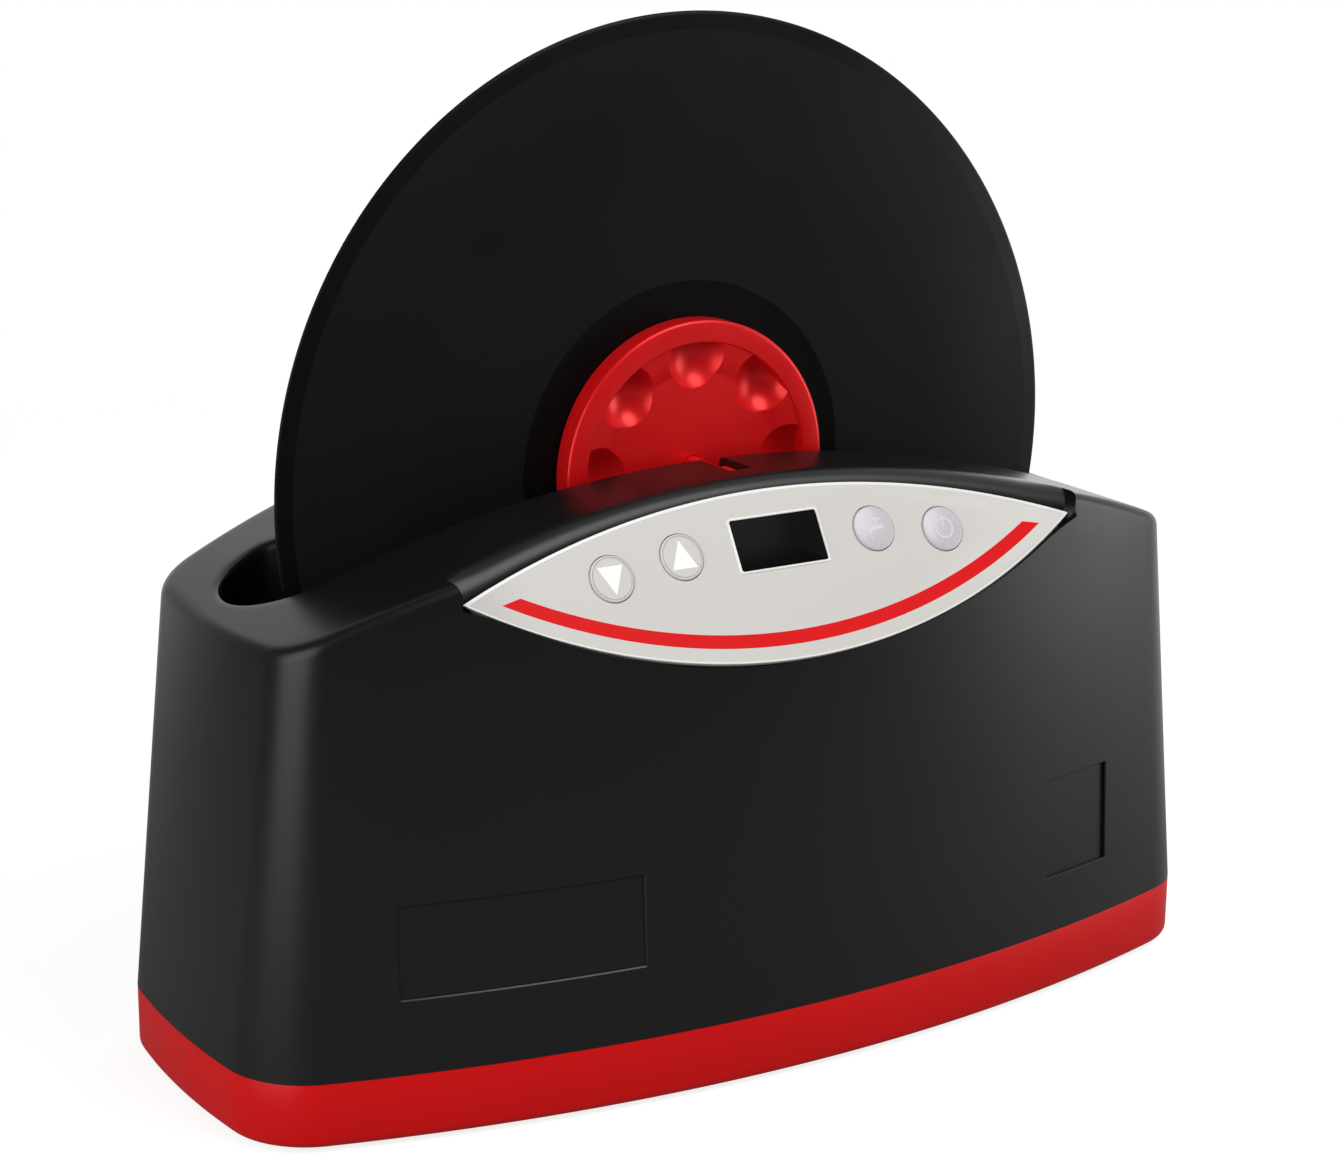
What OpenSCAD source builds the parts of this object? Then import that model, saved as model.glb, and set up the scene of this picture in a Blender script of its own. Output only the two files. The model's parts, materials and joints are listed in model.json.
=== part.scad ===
// Ultrasonic record cleaning machine with a clamped 12 inch record.
// +Z is up, the front faces -Y, and the origin is on the table under the middle of the body.

/* [Base] */
// Overall length of the body
base_l = 378; // [345:1:460]
// Overall depth of the body at its middle
base_d = 171; // [160:1:206]
// How far the long sides bow outwards
side_bow = 30; // [25:1:33]
// How far the short ends bow outwards
end_bow = 5; // [4:0.5:6]
// Corner radius in plan
corner_r = 30; // [25:1:36]
// Height of the red band around the foot
band_h = 22; // [18:0.5:27]
// Wall of the moulded shells
wall = 2.8; // [2.3:0.1:3.4]
// How far the rubber feet stand proud of the tray
foot_proud = 1.5; // [1.2:0.1:2]

/* [Housing] */
// Height of the crown above the tray's underside
housing_h = 192.5; // [188:0.5:231]
// How far the short ends lean in between the band and the crown
end_lean = 18; // [15:0.5:19]
// How far the long sides lean in between the band and the crown
side_lean = 10; // [8.5:0.5:12]
// Corner radius in plan at the crown
crown_corner_r = 16; // [13.5:0.5:19]
// Radius of the arched top along the body
crown_r = 440; // [370:5:528]
// Half width of the record slot
slot_half_w = 16; // [14.2:0.2:19.2]
// Clearance from the record's edge to the slot's end
slot_end_gap = 13.5; // [11.5:0.5:16]
// Radius of the slot's widened ends
slot_end_r = 24; // [20:0.5:28]
// Wall of the skirt around the slot
skirt_wall = 2.5; // [2.1:0.1:3]

/* [Record] */
// Radius of the record
record_r = 150.5; // [125.5:0.5:150.5]
// Thickness of the record
record_t = 2; // [1.7:0.1:2.4]
// Radius of the spindle hole
record_hole_r = 3.62; // [3.6:0.01:3.7]
// Depth of the axle's centre line below the crown
axle_drop = 5; // [4.8:0.1:6]
// Radius of the label clamps
clamp_r = 50; // [42:0.5:55]
// Thickness of each label clamp
clamp_t = 8; // [6.8:0.2:9.6]
// Finger dimples in each label clamp
dimples = 8; // [6:1:10]

/* [Panel] */
// Half length of the lens-shaped fascia
panel_half_l = 117; // [98:1:120]
// Height of the fascia along its slope
panel_h = 57.5; // [52:0.5:60]
// Lean of the fascia from the vertical
panel_tilt = 31; // [29:0.5:33]
// Front-to-back bow of the lip over the fascia
lip_bow = 12; // [10:0.5:14]
// Distance of the lip's middle in front of the record
lip_y = 49; // [47:0.5:52]
// Drop of the fascia's top edge below the crown
lip_drop = 2.4; // [2:0.1:2.9]
// Thickness of the fascia
fascia_t = 2.5; // [2.1:0.1:3]
// Radius of a button cap
button_r = 7.7; // [6.5:0.1:8.2]
// Button travel
button_travel = 0.8; // [0.5:0.1:1]

/* [Tank] */
// Clearance from the record's edge to the tank's floor
tank_gap = 7.5; // [6.3:0.5:9]
// Half width of the tank's inside
tank_half_w = 14; // [11.7:0.5:16]
// Wall of the tank
tank_wall = 1.5; // [1.3:0.1:1.8]
// Height of the tank's rim
tank_rim_z = 144; // [138:1:150]

/* [Hidden] */
$fn = 64;

// Clearances
fit = 0.05;        // radius gap of a running or push fit
gap = 0.3;         // gap between separate pieces
eps = 0.01;

// Levels
tray_z = foot_proud;
band_z = tray_z + band_h;
crown_z = tray_z + housing_h;
axle_z = crown_z - axle_drop;
floor_t = 2.5;
floor_z = tray_z + floor_t;

// Plan of the body
half_l = base_l / 2;
half_d = base_d / 2;
chord_l = half_l - end_bow;
chord_d = half_d - side_bow;
side_r = (chord_l * chord_l + side_bow * side_bow) / (2 * side_bow);
end_r = (chord_d * chord_d + end_bow * end_bow) / (2 * end_bow);

// Slot and tank
slot_half_l = record_r + slot_end_gap;
tank_r = record_r + tank_gap;
seal_t = 2;
skirt_z = tank_rim_z + seal_t;
flange_t = 1.5;
boss_r = 4;
tank_bottom_z = axle_z - tank_r - tank_wall;
relief_x = slot_half_l - slot_end_r;
relief_run = 35;      // how far a widened end tapers back to the slot
relief_floor = skirt_z + 4;
tank_screw_x = [-relief_x + relief_run + 3, -45, 45, relief_x - relief_run - 3];
tank_screw_y = slot_half_w + skirt_wall + boss_r - 1;

// Transducers and their generator
horn_l = 17;
ring_l = 10;
mass_l = 13;
bolt_r = 3;
generator_z = floor_z + 8;

// Fascia
lip_r = (panel_half_l * panel_half_l + lip_bow * lip_bow) / (2 * lip_bow);
tip_v = lip_bow / sin(panel_tilt);
belly = panel_h - tip_v;
belly_r = (panel_half_l * panel_half_l + belly * belly) / (2 * belly);
fascia_y = -lip_y - 1;
fascia_z = crown_z - lip_drop - 1.2;
seat_t = 2.5;
pocket_gap = 0.8;
display_w = 33.6;
display_h = 17.4;
display_v = -17.9;
outer_x = 64;
inner_x = 37.2;
outer_v = -22.2;
inner_v = -18.6;
board_v = -20.5;
board_w = 146;
board_h = 25;
board_t = 1.6;
board_drop = 8.5;
stem_r = 1.7;
switch_h = 3.5;
stem_seat = 1.2;
cap_t = 3;
cap_proud = 0.6;
flange_r = button_r + 1.3;

// Axle, saddles and drive
journal_r = 3;
spindle_r = 3.5;
thread_gap = 0.06;
seal_face = 0.6;      // how far a clamp stands off the record
bush_r = 3.9;
bush_l = 8;
axle_front = 33;
rear_bush_y = slot_half_w + 5;
pinion_w = 7;
pinion_y = rear_bush_y + bush_l + 0.5;
axle_rear = pinion_y + pinion_w + 1;
teeth = 16;
gear_m = 0.6;
mesh_gap = 0.12;
gear_z = axle_z - gear_m * teeth - mesh_gap;
shaft_r = 1.5;
saddle_half_w = 9;
ear_x = 14;
notch_half_w = bush_r + 0.5;
rear_notch_half_w = gear_m * (teeth / 2 + 1) + 1.2;
saddle_top = crown_z - wall - gap;
frame_y0 = slot_half_w + skirt_wall + gap;
frame_y1 = axle_rear + 3.5;
frame_half_w = 12;
gearbox_r = 10;
gearbox_l = 12;
motor_l = 14;

// Drain and inlet
pump_r = 17;
pump_y = 31;
pump_w = 13;
pump_z = 23;
port_r = 3;
hose_wall = 1.5;
outlet_x = half_l - 59;
outlet_z = pump_z + 12.4;
hose_bend = 12;
inlet_x = -60;
inlet_z = 36;
inlet_r = 5.5;
port_pads = [[outlet_x, outlet_z, 9], [inlet_x, inlet_z, 9.4]];
spigot_r = 5;
spigot_body = 8;
barb_l = 8;
screw_x = half_l - wall - 5.2;
screw_y = 28;

// Share of the lean that the walls have reached at height z
function lean(z) = (z - band_z) / (crown_z - band_z);
// Depth of the rear wall's outside at x and z
function rear_at(x, z) = sqrt(side_r * side_r - x * x) - side_r + half_d - lean(z) * side_lean;

// Outline of the body at the share k of its lean, moved inwards by e
module plan(e = 0, k = 0) {
    r = corner_r + k * (crown_corner_r - corner_r);
    offset(r = r - e, $fn = 40)
        intersection_for (s = [-1, 1])
            intersection() {
                translate([0, s * (side_r - half_d + k * side_lean)])
                    circle(r = side_r - r, $fn = 240);
                translate([s * (end_r - half_l + k * end_lean), 0])
                    circle(r = end_r - r, $fn = 180);
            }
}

// Space under the arched top, lowered by e
module under_arch(e = 0) {
    translate([0, 0, crown_z - crown_r])
        rotate([90, 0, 0])
            cylinder(r = crown_r - e, h = base_d + 20, center = true, $fn = 360);
}

// Solid shape of the housing, moved inwards by e at its walls and lowered by e at its top
module body_solid(e = 0, z0 = band_z) {
    intersection() {
        hull() {
            translate([0, 0, z0])
                linear_extrude(height = eps)
                    plan(e, lean(z0));
            translate([0, 0, crown_z + 2])
                linear_extrude(height = eps)
                    plan(e, lean(crown_z + 2));
        }
        under_arch(e);
    }
}

// Straight bar with round ends, half_w wide and half_len long
module capsule(half_len, half_w, z0, z1) {
    translate([-(half_len - half_w), -half_w, z0])
        cube([2 * (half_len - half_w), 2 * half_w, z1 - z0]);
    for (s = [-1, 1])
        translate([s * (half_len - half_w), 0, z0])
            cylinder(r = half_w, h = z1 - z0);
}

// Widened ends of the slot, grown sideways by e, from z0 up; each tapers back along the rear
module slot_ends(e, z0) {
    rear_y = 2 * slot_end_r - slot_half_w;
    for (s = [-1, 1])
        translate([0, 0, z0])
            linear_extrude(height = crown_z + 10 - z0) {
                translate([s * relief_x, slot_end_r - slot_half_w])
                    circle(r = slot_end_r + e);
                polygon([
                    [s * relief_x, -slot_half_w - e], [s * relief_x, rear_y + e],
                    [s * (relief_x - relief_run), slot_half_w + e],
                    [s * (relief_x - relief_run), -slot_half_w - e]
                ]);
            }
}

// Moves children onto the fascia: x along it, y up its slope from its top edge, z out of it
module on_panel(v = 0) {
    translate([0, fascia_y, fascia_z])
        rotate([90 - panel_tilt, 0, 0])
            translate([0, v, 0])
                children();
}

// Turns children from +Z to +Y at y0
module along_y(x, y0, z) {
    translate([x, y0, z])
        rotate([-90, 0, 0])
            children();
}

// Round bar or tube along +Y
module rod_y(x, z, y0, y1, r, bore = 0) {
    along_y(x, y0, z)
        difference() {
            cylinder(r = r, h = y1 - y0);
            if (bore > 0)
                translate([0, 0, -1])
                    cylinder(r = bore, h = y1 - y0 + 2);
        }
}

// Lens-shaped block in front of the plane z0 of the fascia's frame, grown sideways by e
module lens(e, z0, z1) {
    intersection() {
        on_panel(-panel_h + belly_r)
            translate([0, 0, z0])
                cylinder(r = belly_r + e, h = z1 - z0, $fn = 240);
        translate([0, fascia_y - lip_r, band_z])
            cylinder(r = lip_r + e, h = housing_h, $fn = 240);
    }
}

// Places children at the four button centres
module at_button(i) {
    x = [-outer_x, -inner_x, inner_x, outer_x][i];
    v = [outer_v, inner_v, inner_v, outer_v][i];
    on_panel(v)
        translate([x, 0, 0])
            children();
}

// Places children at the control board's screws
module at_board_screws() {
    for (x = [-68, -20.5, 20.5, 68])
        on_panel(board_v + (abs(x) > 50 ? 8.5 : -9.5))
            translate([x, 0, 0])
                children();
}

// Places children at the screws that join the tray and the housing
module at_housing_screws() {
    for (sx = [-1, 1])
        for (sy = [-1, 1])
            translate([sx * screw_x, sy * screw_y, 0])
                children();
}

// Places children at the screws that hold the tank's rim
module at_tank_screws() {
    for (x = tank_screw_x)
        for (s = [-1, 1])
            translate([x, s * tank_screw_y, 0])
                children();
}

// Places children at the screws of the front saddle and of the drive frame
module at_saddle_screws() {
    for (s = [-1, 1]) {
        translate([s * ear_x, -30, 0])
            children();
        translate([s * (ear_x + 3), 30, 0])
            children();
    }
}

// Screw with a pan head at z = 0 and its shank upwards
module screw(r, head_r, head_h, len) {
    translate([0, 0, -head_h])
        cylinder(r = head_r, h = head_h);
    translate([0, 0, -head_h / 2])
        cylinder(r = r, h = len + head_h / 2);
}

module housing() {
    color("#2b2b2c")
        difference() {
            union() {
                difference() {
                    body_solid();
                    body_solid(wall, band_z - 1);
                }
                intersection() {
                    body_solid(eps);
                    union() {
                        lens(wall + pocket_gap, -fascia_t - seat_t, 60);
                        capsule(slot_half_l + skirt_wall, slot_half_w + skirt_wall, skirt_z, crown_z);
                        slot_ends(skirt_wall, relief_floor - skirt_wall);
                        at_tank_screws()
                            translate([0, 0, skirt_z])
                                cylinder(r = boss_r, h = 12);
                        at_saddle_screws()
                            translate([0, 0, saddle_top - 8])
                                cylinder(r = boss_r, h = crown_z);
                    }
                }
                intersection() {
                    body_solid(eps);
                    at_housing_screws()
                        translate([0, 0, band_z])
                            cylinder(r = 5, h = 34);
                }
                at_board_screws()
                    translate([0, 0, -fascia_t - seat_t - board_drop + gap])
                        cylinder(r = 2.8, h = board_drop);
                for (p = port_pads)
                    rod_y(p[0], p[1], rear_at(p[0], p[1]) - wall, rear_at(p[0], p[1]) + gap, p[2] + 1);
            }
            capsule(slot_half_l, slot_half_w, skirt_z - 1, crown_z + 10);
            slot_ends(0, relief_floor);
            lens(pocket_gap, -fascia_t, 60);
            housing_cuts();
        }
}

// Holes and recesses of the housing
module housing_cuts() {
    // notches for the axle's two ends
    translate([-notch_half_w, -axle_front - 3.2, axle_z - journal_r - 1.4])
        cube([2 * notch_half_w, axle_front + 3.2 - slot_half_w + 1, 30]);
    translate([-rear_notch_half_w, slot_half_w - 1, axle_z - journal_r - 1.4])
        cube([2 * rear_notch_half_w, axle_rear + 1.2 - slot_half_w + 1, 30]);
    // display and buttons
    on_panel(display_v)
        translate([-display_w / 2 - 1, -display_h / 2 - 1, -fascia_t - seat_t - 1])
            cube([display_w + 2, display_h + 2, seat_t + 3]);
    for (i = [0:3])
        at_button(i)
            translate([0, 0, -fascia_t - seat_t - 1])
                cylinder(r = flange_r + 0.4, h = seat_t + 3);
    // pilot holes
    at_board_screws()
        translate([0, 0, -fascia_t - seat_t - board_drop - 1])
            cylinder(r = 1.1, h = board_drop - 1);
    at_housing_screws()
        translate([0, 0, band_z - 1])
            cylinder(r = 1.75, h = 27);
    at_tank_screws()
        translate([0, 0, skirt_z - 1])
            cylinder(r = 1.3, h = 10);
    at_saddle_screws()
        translate([0, 0, saddle_top - 9])
            cylinder(r = 1.3, h = 8);
    // drain spigot and power inlet
    rod_y(outlet_x, outlet_z, half_d - 30, half_d + 5, spigot_r + fit);
    rod_y(inlet_x, inlet_z, half_d - 20, half_d + 5, inlet_r + fit);
    for (p = port_pads) {
        rod_y(p[0], p[1], rear_at(p[0], p[1]) + gap, half_d + 5, p[2]);
        rod_y(p[0], p[1], rear_at(p[0], p[1]) - 12, rear_at(p[0], p[1]) - wall, p[2]);
    }
    // two bare badge recesses on the front
    difference() {
        translate([-142, -half_d, 46.5 + tray_z])
            cube([80, 30, 30]);
        body_solid(0.8);
    }
    difference() {
        translate([104.5, -half_d, 42 + tray_z])
            cube([31, 30, 35]);
        body_solid(1.4);
    }
}

module base_tray() {
    lip_h = 4;
    lip_t = 1.3;
    color("#d3161c")
        difference() {
            union() {
                translate([0, 0, tray_z])
                    linear_extrude(height = band_h)
                        plan();
                translate([0, 0, band_z - 6])
                    linear_extrude(height = 6 + lip_h)
                        plan(wall + gap, lean(band_z + lip_h));
            }
            translate([0, 0, floor_z])
                linear_extrude(height = band_h - 6 - floor_t)
                    plan(wall);
            translate([0, 0, floor_z])
                linear_extrude(height = band_h + lip_h)
                    plan(wall + gap + lip_t, lean(band_z + lip_h));
            at_housing_screws()
                translate([0, 0, band_z])
                    cylinder(r = 5 + gap, h = lip_h + 1);
            for (p = port_pads)
                rod_y(p[0], p[1], rear_at(p[0], p[1]) - 9, rear_at(p[0], p[1]) + 2, p[2] + 1 + gap);
            at_feet()
                translate([0, 0, tray_z - 1])
                    cylinder(r = 9 + fit, h = 2.2);
            at_housing_screws()
                translate([0, 0, tray_z - 1])
                    cylinder(r = 3.6, h = 8);
        }
    color("#d3161c") {
        at_housing_screws()
            translate([0, 0, tray_z])
                difference() {
                    cylinder(r = 5.6, h = band_h);
                    translate([0, 0, -1])
                        cylinder(r = 3.6, h = 5);
                    cylinder(r = 1.9, h = band_h + 1);
                }
        at_generator_screws()
            post(8);
        at_pump_screws()
            post(6);
    }
}

// Hollow post on the tray's floor
module post(h) {
    translate([0, 0, tray_z + 1])
        difference() {
            cylinder(r = 3.2, h = h + floor_t - 1);
            translate([0, 0, 2])
                cylinder(r = 1.3, h = h + floor_t);
        }
}

// Places children at the four feet
module at_feet() {
    for (sx = [-1, 1])
        for (sy = [-1, 1])
            translate([sx * 130, sy * 46, 0])
                children();
}

module rubber_feet() {
    color("#1c1c1c")
        at_feet()
            union() {
                cylinder(r = 7.5, h = 0.8);
                translate([0, 0, 0.8])
                    cylinder(r = 9, h = foot_proud + 0.4);
            }
}

module housing_screws() {
    color("#9a9a9e")
        at_housing_screws()
            translate([0, 0, tray_z + 4])
                screw(1.7, 3.2, 2.2, band_h + 12);
}

// Solid shape of the tank's bowl, grown by e
module bowl(e) {
    intersection() {
        rod_y(0, axle_z, -tank_half_w - e, tank_half_w + e, tank_r + e);
        translate([-base_l / 2, -base_d / 2, 0])
            cube([base_l, base_d, tank_rim_z + (e > 0 ? 0 : 1)]);
    }
}

module tank() {
    rim_l = slot_half_l + skirt_wall + 2;
    color("#c9cbcf")
        difference() {
            union() {
                bowl(tank_wall);
                capsule(rim_l, slot_half_w + skirt_wall + 2 * boss_r, tank_rim_z - flange_t, tank_rim_z);
            }
            bowl(0);
            at_tank_screws()
                translate([0, 0, tank_rim_z - 5])
                    cylinder(r = 1.7, h = 10);
            translate([0, 0, tank_bottom_z - 1])
                cylinder(r = port_r + hose_wall, h = 6);
            for (x = [100, 112])
                rod_y(x, 125, tank_half_w - 1, tank_half_w + 3, 1.5 + fit);
        }
}

module tank_seal() {
    color("#202022")
        difference() {
            capsule(slot_half_l + skirt_wall + 2, slot_half_w + skirt_wall + 2 * boss_r,
                tank_rim_z, skirt_z);
            capsule(slot_half_l, slot_half_w, tank_rim_z - 1, skirt_z + 1);
            at_tank_screws()
                translate([0, 0, tank_rim_z - 1])
                    cylinder(r = 1.7, h = 5);
        }
}

module tank_screws() {
    color("#b9bbc0")
        at_tank_screws()
            translate([0, 0, tank_rim_z - flange_t])
                screw(1.25, 3, 1.8, 11);
}

module sump_strainer() {
    strainer_r = 9;
    sag = tank_r - sqrt(tank_r * tank_r - strainer_r * strainer_r);
    color("#aeb1b6")
        translate([0, 0, axle_z - tank_r + sag + fit])
            difference() {
                cylinder(r = strainer_r, h = 0.8);
                for (ring = [[0, 1], [3, 6], [6, 12]])
                    for (k = [0:ring[1] - 1])
                        rotate([0, 0, k * 360 / ring[1]])
                            translate([ring[0], 0, -1])
                                cylinder(r = 0.8, h = 3, $fn = 16);
            }
}

module drain_fitting() {
    out_r = port_r + hose_wall - fit;
    color("#3a3a3e")
        difference() {
            union() {
                translate([0, 0, pump_z - out_r])
                    cylinder(r = out_r, h = tank_bottom_z - pump_z + out_r + tank_wall);
                translate([0, 0, pump_z])
                    cylinder(r = 8, h = tank_bottom_z - pump_z);
                rod_y(0, pump_z, 0, 17, out_r);
            }
            translate([0, 0, pump_z])
                cylinder(r = port_r - 0.4, h = 20);
            translate([0, 0, pump_z])
                sphere(r = port_r - 0.4);
            rod_y(0, pump_z, 0, 20, port_r - 0.4);
        }
}

module level_probes() {
    color("#c5c7ca")
        for (x = [100, 112]) {
            rod_y(x, 125, tank_half_w - 2, tank_half_w + tank_wall + 1, 1.5);
            rod_y(x, 125, tank_half_w + tank_wall, tank_half_w + tank_wall + 4, 3);
        }
}

// Places children on the tank's two long walls, turned outwards
module at_transducers() {
    for (x = [-60, 60])
        for (s = [-1, 1])
            translate([x, s * (tank_half_w + tank_wall), 86])
                rotate([-90 * s, 0, 0])
                    children();
}

module transducer_horns() {
    color("#b7babf")
        at_transducers()
            difference() {
                union() {
                    cylinder(r = 20, h = 5);
                    cylinder(r = 16, h = horn_l);
                }
                translate([0, 0, 6])
                    cylinder(r = bolt_r + fit, h = horn_l);
            }
}

module transducer_rings() {
    color("#d8b25a")
        at_transducers()
            difference() {
                union() {
                    for (k = [0, 1])
                        translate([0, 0, horn_l + k * ring_l / 2])
                            cylinder(r = 15, h = ring_l / 2 - 0.5);
                    translate([0, 0, horn_l])
                        cylinder(r = 14, h = ring_l);
                }
                translate([0, 0, horn_l - 1])
                    cylinder(r = bolt_r + 1, h = ring_l + 2);
            }
}

module transducer_masses() {
    color("#8f9297")
        at_transducers()
            translate([0, 0, horn_l + ring_l])
                difference() {
                    cylinder(r = 15.5, h = mass_l);
                    translate([0, 0, -1])
                        cylinder(r = bolt_r + fit, h = mass_l + 2);
                }
}

module transducer_bolts() {
    stack = horn_l + ring_l + mass_l;
    color("#54565a")
        at_transducers() {
            translate([0, 0, 8])
                cylinder(r = bolt_r, h = stack - 8 + 1);
            translate([0, 0, stack])
                difference() {
                    cylinder(r = 5, h = 5);
                    translate([0, 0, 2.4])
                        cylinder(r = 2.6, h = 4, $fn = 6);
                }
        }
}

module fascia() {
    color("#d9d6d1")
        difference() {
            lens(0, -fascia_t, 0);
            on_panel(display_v)
                translate([-display_w / 2, -display_h / 2, -fascia_t - 1])
                    cube([display_w, display_h, fascia_t + 2]);
            for (i = [0:3])
                at_button(i)
                    translate([0, 0, -fascia_t - 1])
                        cylinder(r = button_r + gap, h = fascia_t + 2);
            stripe(0.6, 0.4, fit);
        }
}

// Curved stripe along the fascia's lower edge, from depth low up to proud, wider by e
module stripe(low, proud, e = 0) {
    stripe_w = 4.6;
    margin = 5;
    half_angle = 29.4;
    on_panel(-panel_h + belly_r)
        translate([0, 0, -low])
            rotate([0, 0, -90 - half_angle])
                rotate_extrude(angle = 2 * half_angle, $fn = 240)
                    translate([belly_r - margin - stripe_w - e, 0])
                        square([stripe_w + 2 * e, low + proud]);
}

module stripe_inlay() {
    color("#dc2328")
        stripe(0.6, 0.05);
}

module display_window() {
    color("#0c0c0e")
        on_panel(display_v)
            translate([-display_w / 2 + 0.1, -display_h / 2 + 0.1, -1.6])
                cube([display_w - 0.2, display_h - 0.2, 1.5]);
}

module display_module() {
    color("#3b4a3d")
        on_panel(display_v)
            translate([-display_w / 2 + 0.6, -display_h / 2 + 0.6, -fascia_t - seat_t - board_drop])
                cube([display_w - 1.2, display_h - 1.2, board_drop + seat_t + fascia_t - 1.6]);
}

module control_board() {
    top = -fascia_t - seat_t - board_drop;
    color("#1f6b3a")
        difference() {
            on_panel(board_v)
                translate([-board_w / 2, -board_h / 2, top - board_t])
                    cube([board_w, board_h, board_t]);
            at_board_screws()
                translate([0, 0, top - board_t - 1])
                    cylinder(r = 1.3, h = board_t + 2);
        }
}

module tact_switches() {
    top = -fascia_t - seat_t - board_drop;
    color("#2a2a2c")
        for (i = [0:3])
            at_button(i)
                translate([0, 0, top])
                    difference() {
                        translate([-4, -4, 0])
                            cube([8, 8, switch_h]);
                        translate([0, 0, switch_h - stem_seat - button_travel - gap])
                            cylinder(r = stem_r + fit, h = switch_h);
                    }
}

module board_screws() {
    color("#b9bbc0")
        at_board_screws()
            translate([0, 0, -fascia_t - seat_t - board_drop - board_t])
                screw(1.05, 2.2, 1.4, 7);
}

// One push button with its retaining flange and its stem
module push_button(i) {
    switch_top = -fascia_t - seat_t - board_drop + switch_h;
    color("#dcd9e0")
        at_button(i) {
            translate([0, 0, cap_proud - cap_t - 0.4])
                cylinder(r = button_r, h = cap_t + 0.4);
            translate([0, 0, -fascia_t - gap - 1.3])
                cylinder(r = flange_r, h = 1.3);
            translate([0, 0, switch_top - stem_seat])
                cylinder(r = stem_r, h = -fascia_t - gap - switch_top + stem_seat);
        }
}

// Places children at the generator board's screws
module at_generator_screws() {
    for (x = [-144, -50])
        for (y = [20, 53])
            translate([x, y, 0])
                children();
}

module generator_board() {
    color("#1d5a86")
        difference() {
            translate([-149, 15, generator_z])
                cube([104, 43, board_t]);
            at_generator_screws()
                translate([0, 0, generator_z - 1])
                    cylinder(r = 1.5, h = board_t + 2);
        }
}

module generator_heatsink() {
    color("#8d9196")
        translate([-138, 39, generator_z + board_t])
            union() {
                cube([40, 16, 3]);
                for (k = [0:6])
                    translate([k * 6.2, 0, 0])
                        cube([1.6, 16, 22]);
            }
}

module generator_transformer() {
    color("#c89b3c")
        translate([-84, 36, generator_z + board_t])
            union() {
                cube([22, 18, 5]);
                translate([11, 9, 0])
                    cylinder(r = 8.5, h = 15);
                translate([0, 0, 15])
                    cube([22, 18, 5]);
            }
}

module generator_capacitors() {
    color("#20324f")
        for (x = [-132, -116, -100, -84, -68])
            translate([x, 23, generator_z + board_t])
                cylinder(r = x < -108 ? 6 : 4, h = x < -108 ? 24 : 14);
}

module generator_screws() {
    color("#b9bbc0")
        at_generator_screws()
            translate([0, 0, generator_z + board_t])
                mirror([0, 0, 1])
                    screw(1.2, 2.6, 1.6, 7);
}

module front_saddle() {
    y0 = -axle_front - 4;
    y1 = -slot_half_w - skirt_wall - gap;
    color("#2f2f31")
        difference() {
            union() {
                translate([-saddle_half_w, y0, saddle_top - 12])
                    cube([2 * saddle_half_w, y1 - y0, 12]);
                translate([-ear_x - 4, -34, saddle_top - 12])
                    cube([2 * ear_x + 8, 8, 4 - gap]);
            }
            groove(bush_r + 0.1, -axle_front - 1.3, -axle_front - 1.3 + bush_l + 0.6);
            groove(journal_r + 0.5, -axle_front + 5, 0);
            at_saddle_screws()
                translate([0, 0, saddle_top - 13])
                    cylinder(r = 1.6, h = 6);
        }
}

// Round-bottomed trough, open upwards, for a bar of the axle
module groove(r, y0, y1) {
    rod_y(0, axle_z, y0, y1, r);
    translate([-r, y0, axle_z])
        cube([2 * r, y1 - y0, 20]);
}

module drive_frame() {
    chamber = gear_m * (teeth / 2 + 1) + 1.1;
    low = gear_z - gearbox_r - 2;
    color("#2f2f31")
        difference() {
            union() {
                translate([-frame_half_w, frame_y0, low])
                    cube([2 * frame_half_w, frame_y1 - frame_y0, saddle_top - low]);
                translate([-ear_x - 7, 26, saddle_top - 12])
                    cube([2 * ear_x + 14, 8, 4 - gap]);
            }
            groove(bush_r + 0.1, rear_bush_y - gap, rear_bush_y + bush_l - 2 + gap);
            groove(journal_r + 0.5, 0, frame_y1 - 2.5);
            translate([-chamber, pinion_y - 0.6, gear_z - chamber])
                cube([2 * chamber, pinion_w + 1.5, 40]);
            rod_y(0, gear_z, pinion_y, frame_y1 + 1, shaft_r + 0.4);
            for (s = [-1, 1])
                rod_y(s * 7.5, gear_z - 7.5, frame_y1 - 2.5, frame_y1 + 1, 0.9);
            at_saddle_screws()
                translate([0, 0, saddle_top - 13])
                    cylinder(r = 1.6, h = 6);
        }
}

module saddle_screws() {
    color("#b9bbc0")
        at_saddle_screws()
            translate([0, 0, saddle_top - 12])
                screw(1.25, 2.8, 1.6, 9.5);
}

module gearbox() {
    color("#a9a184")
        difference() {
            union() {
                rod_y(0, gear_z, frame_y1, frame_y1 + gearbox_l, gearbox_r);
                for (s = [-1, 1])
                    rod_y(s * 7.5, gear_z - 7.5, frame_y1, frame_y1 + 2, 3);
            }
            rod_y(0, gear_z, frame_y1 - 1, frame_y1 + 6, shaft_r + fit);
            for (s = [-1, 1])
                rod_y(s * 7.5, gear_z - 7.5, frame_y1 - 1, frame_y1 + 4, 1.05);
            for (s = [-1, 1])
                rod_y(s * 7.5, gear_z - 7.5, frame_y1 + 2, frame_y1 + gearbox_l + 1, 2.3);
        }
}

module motor_can() {
    color("#b4b7bb")
        union() {
            rod_y(0, gear_z, frame_y1 + gearbox_l, frame_y1 + gearbox_l + motor_l, gearbox_r - 0.6);
            for (s = [-1, 1])
                translate([s * 4 - 1, frame_y1 + gearbox_l + motor_l, gear_z + 2])
                    cube([2, 2, 4]);
        }
}

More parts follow.
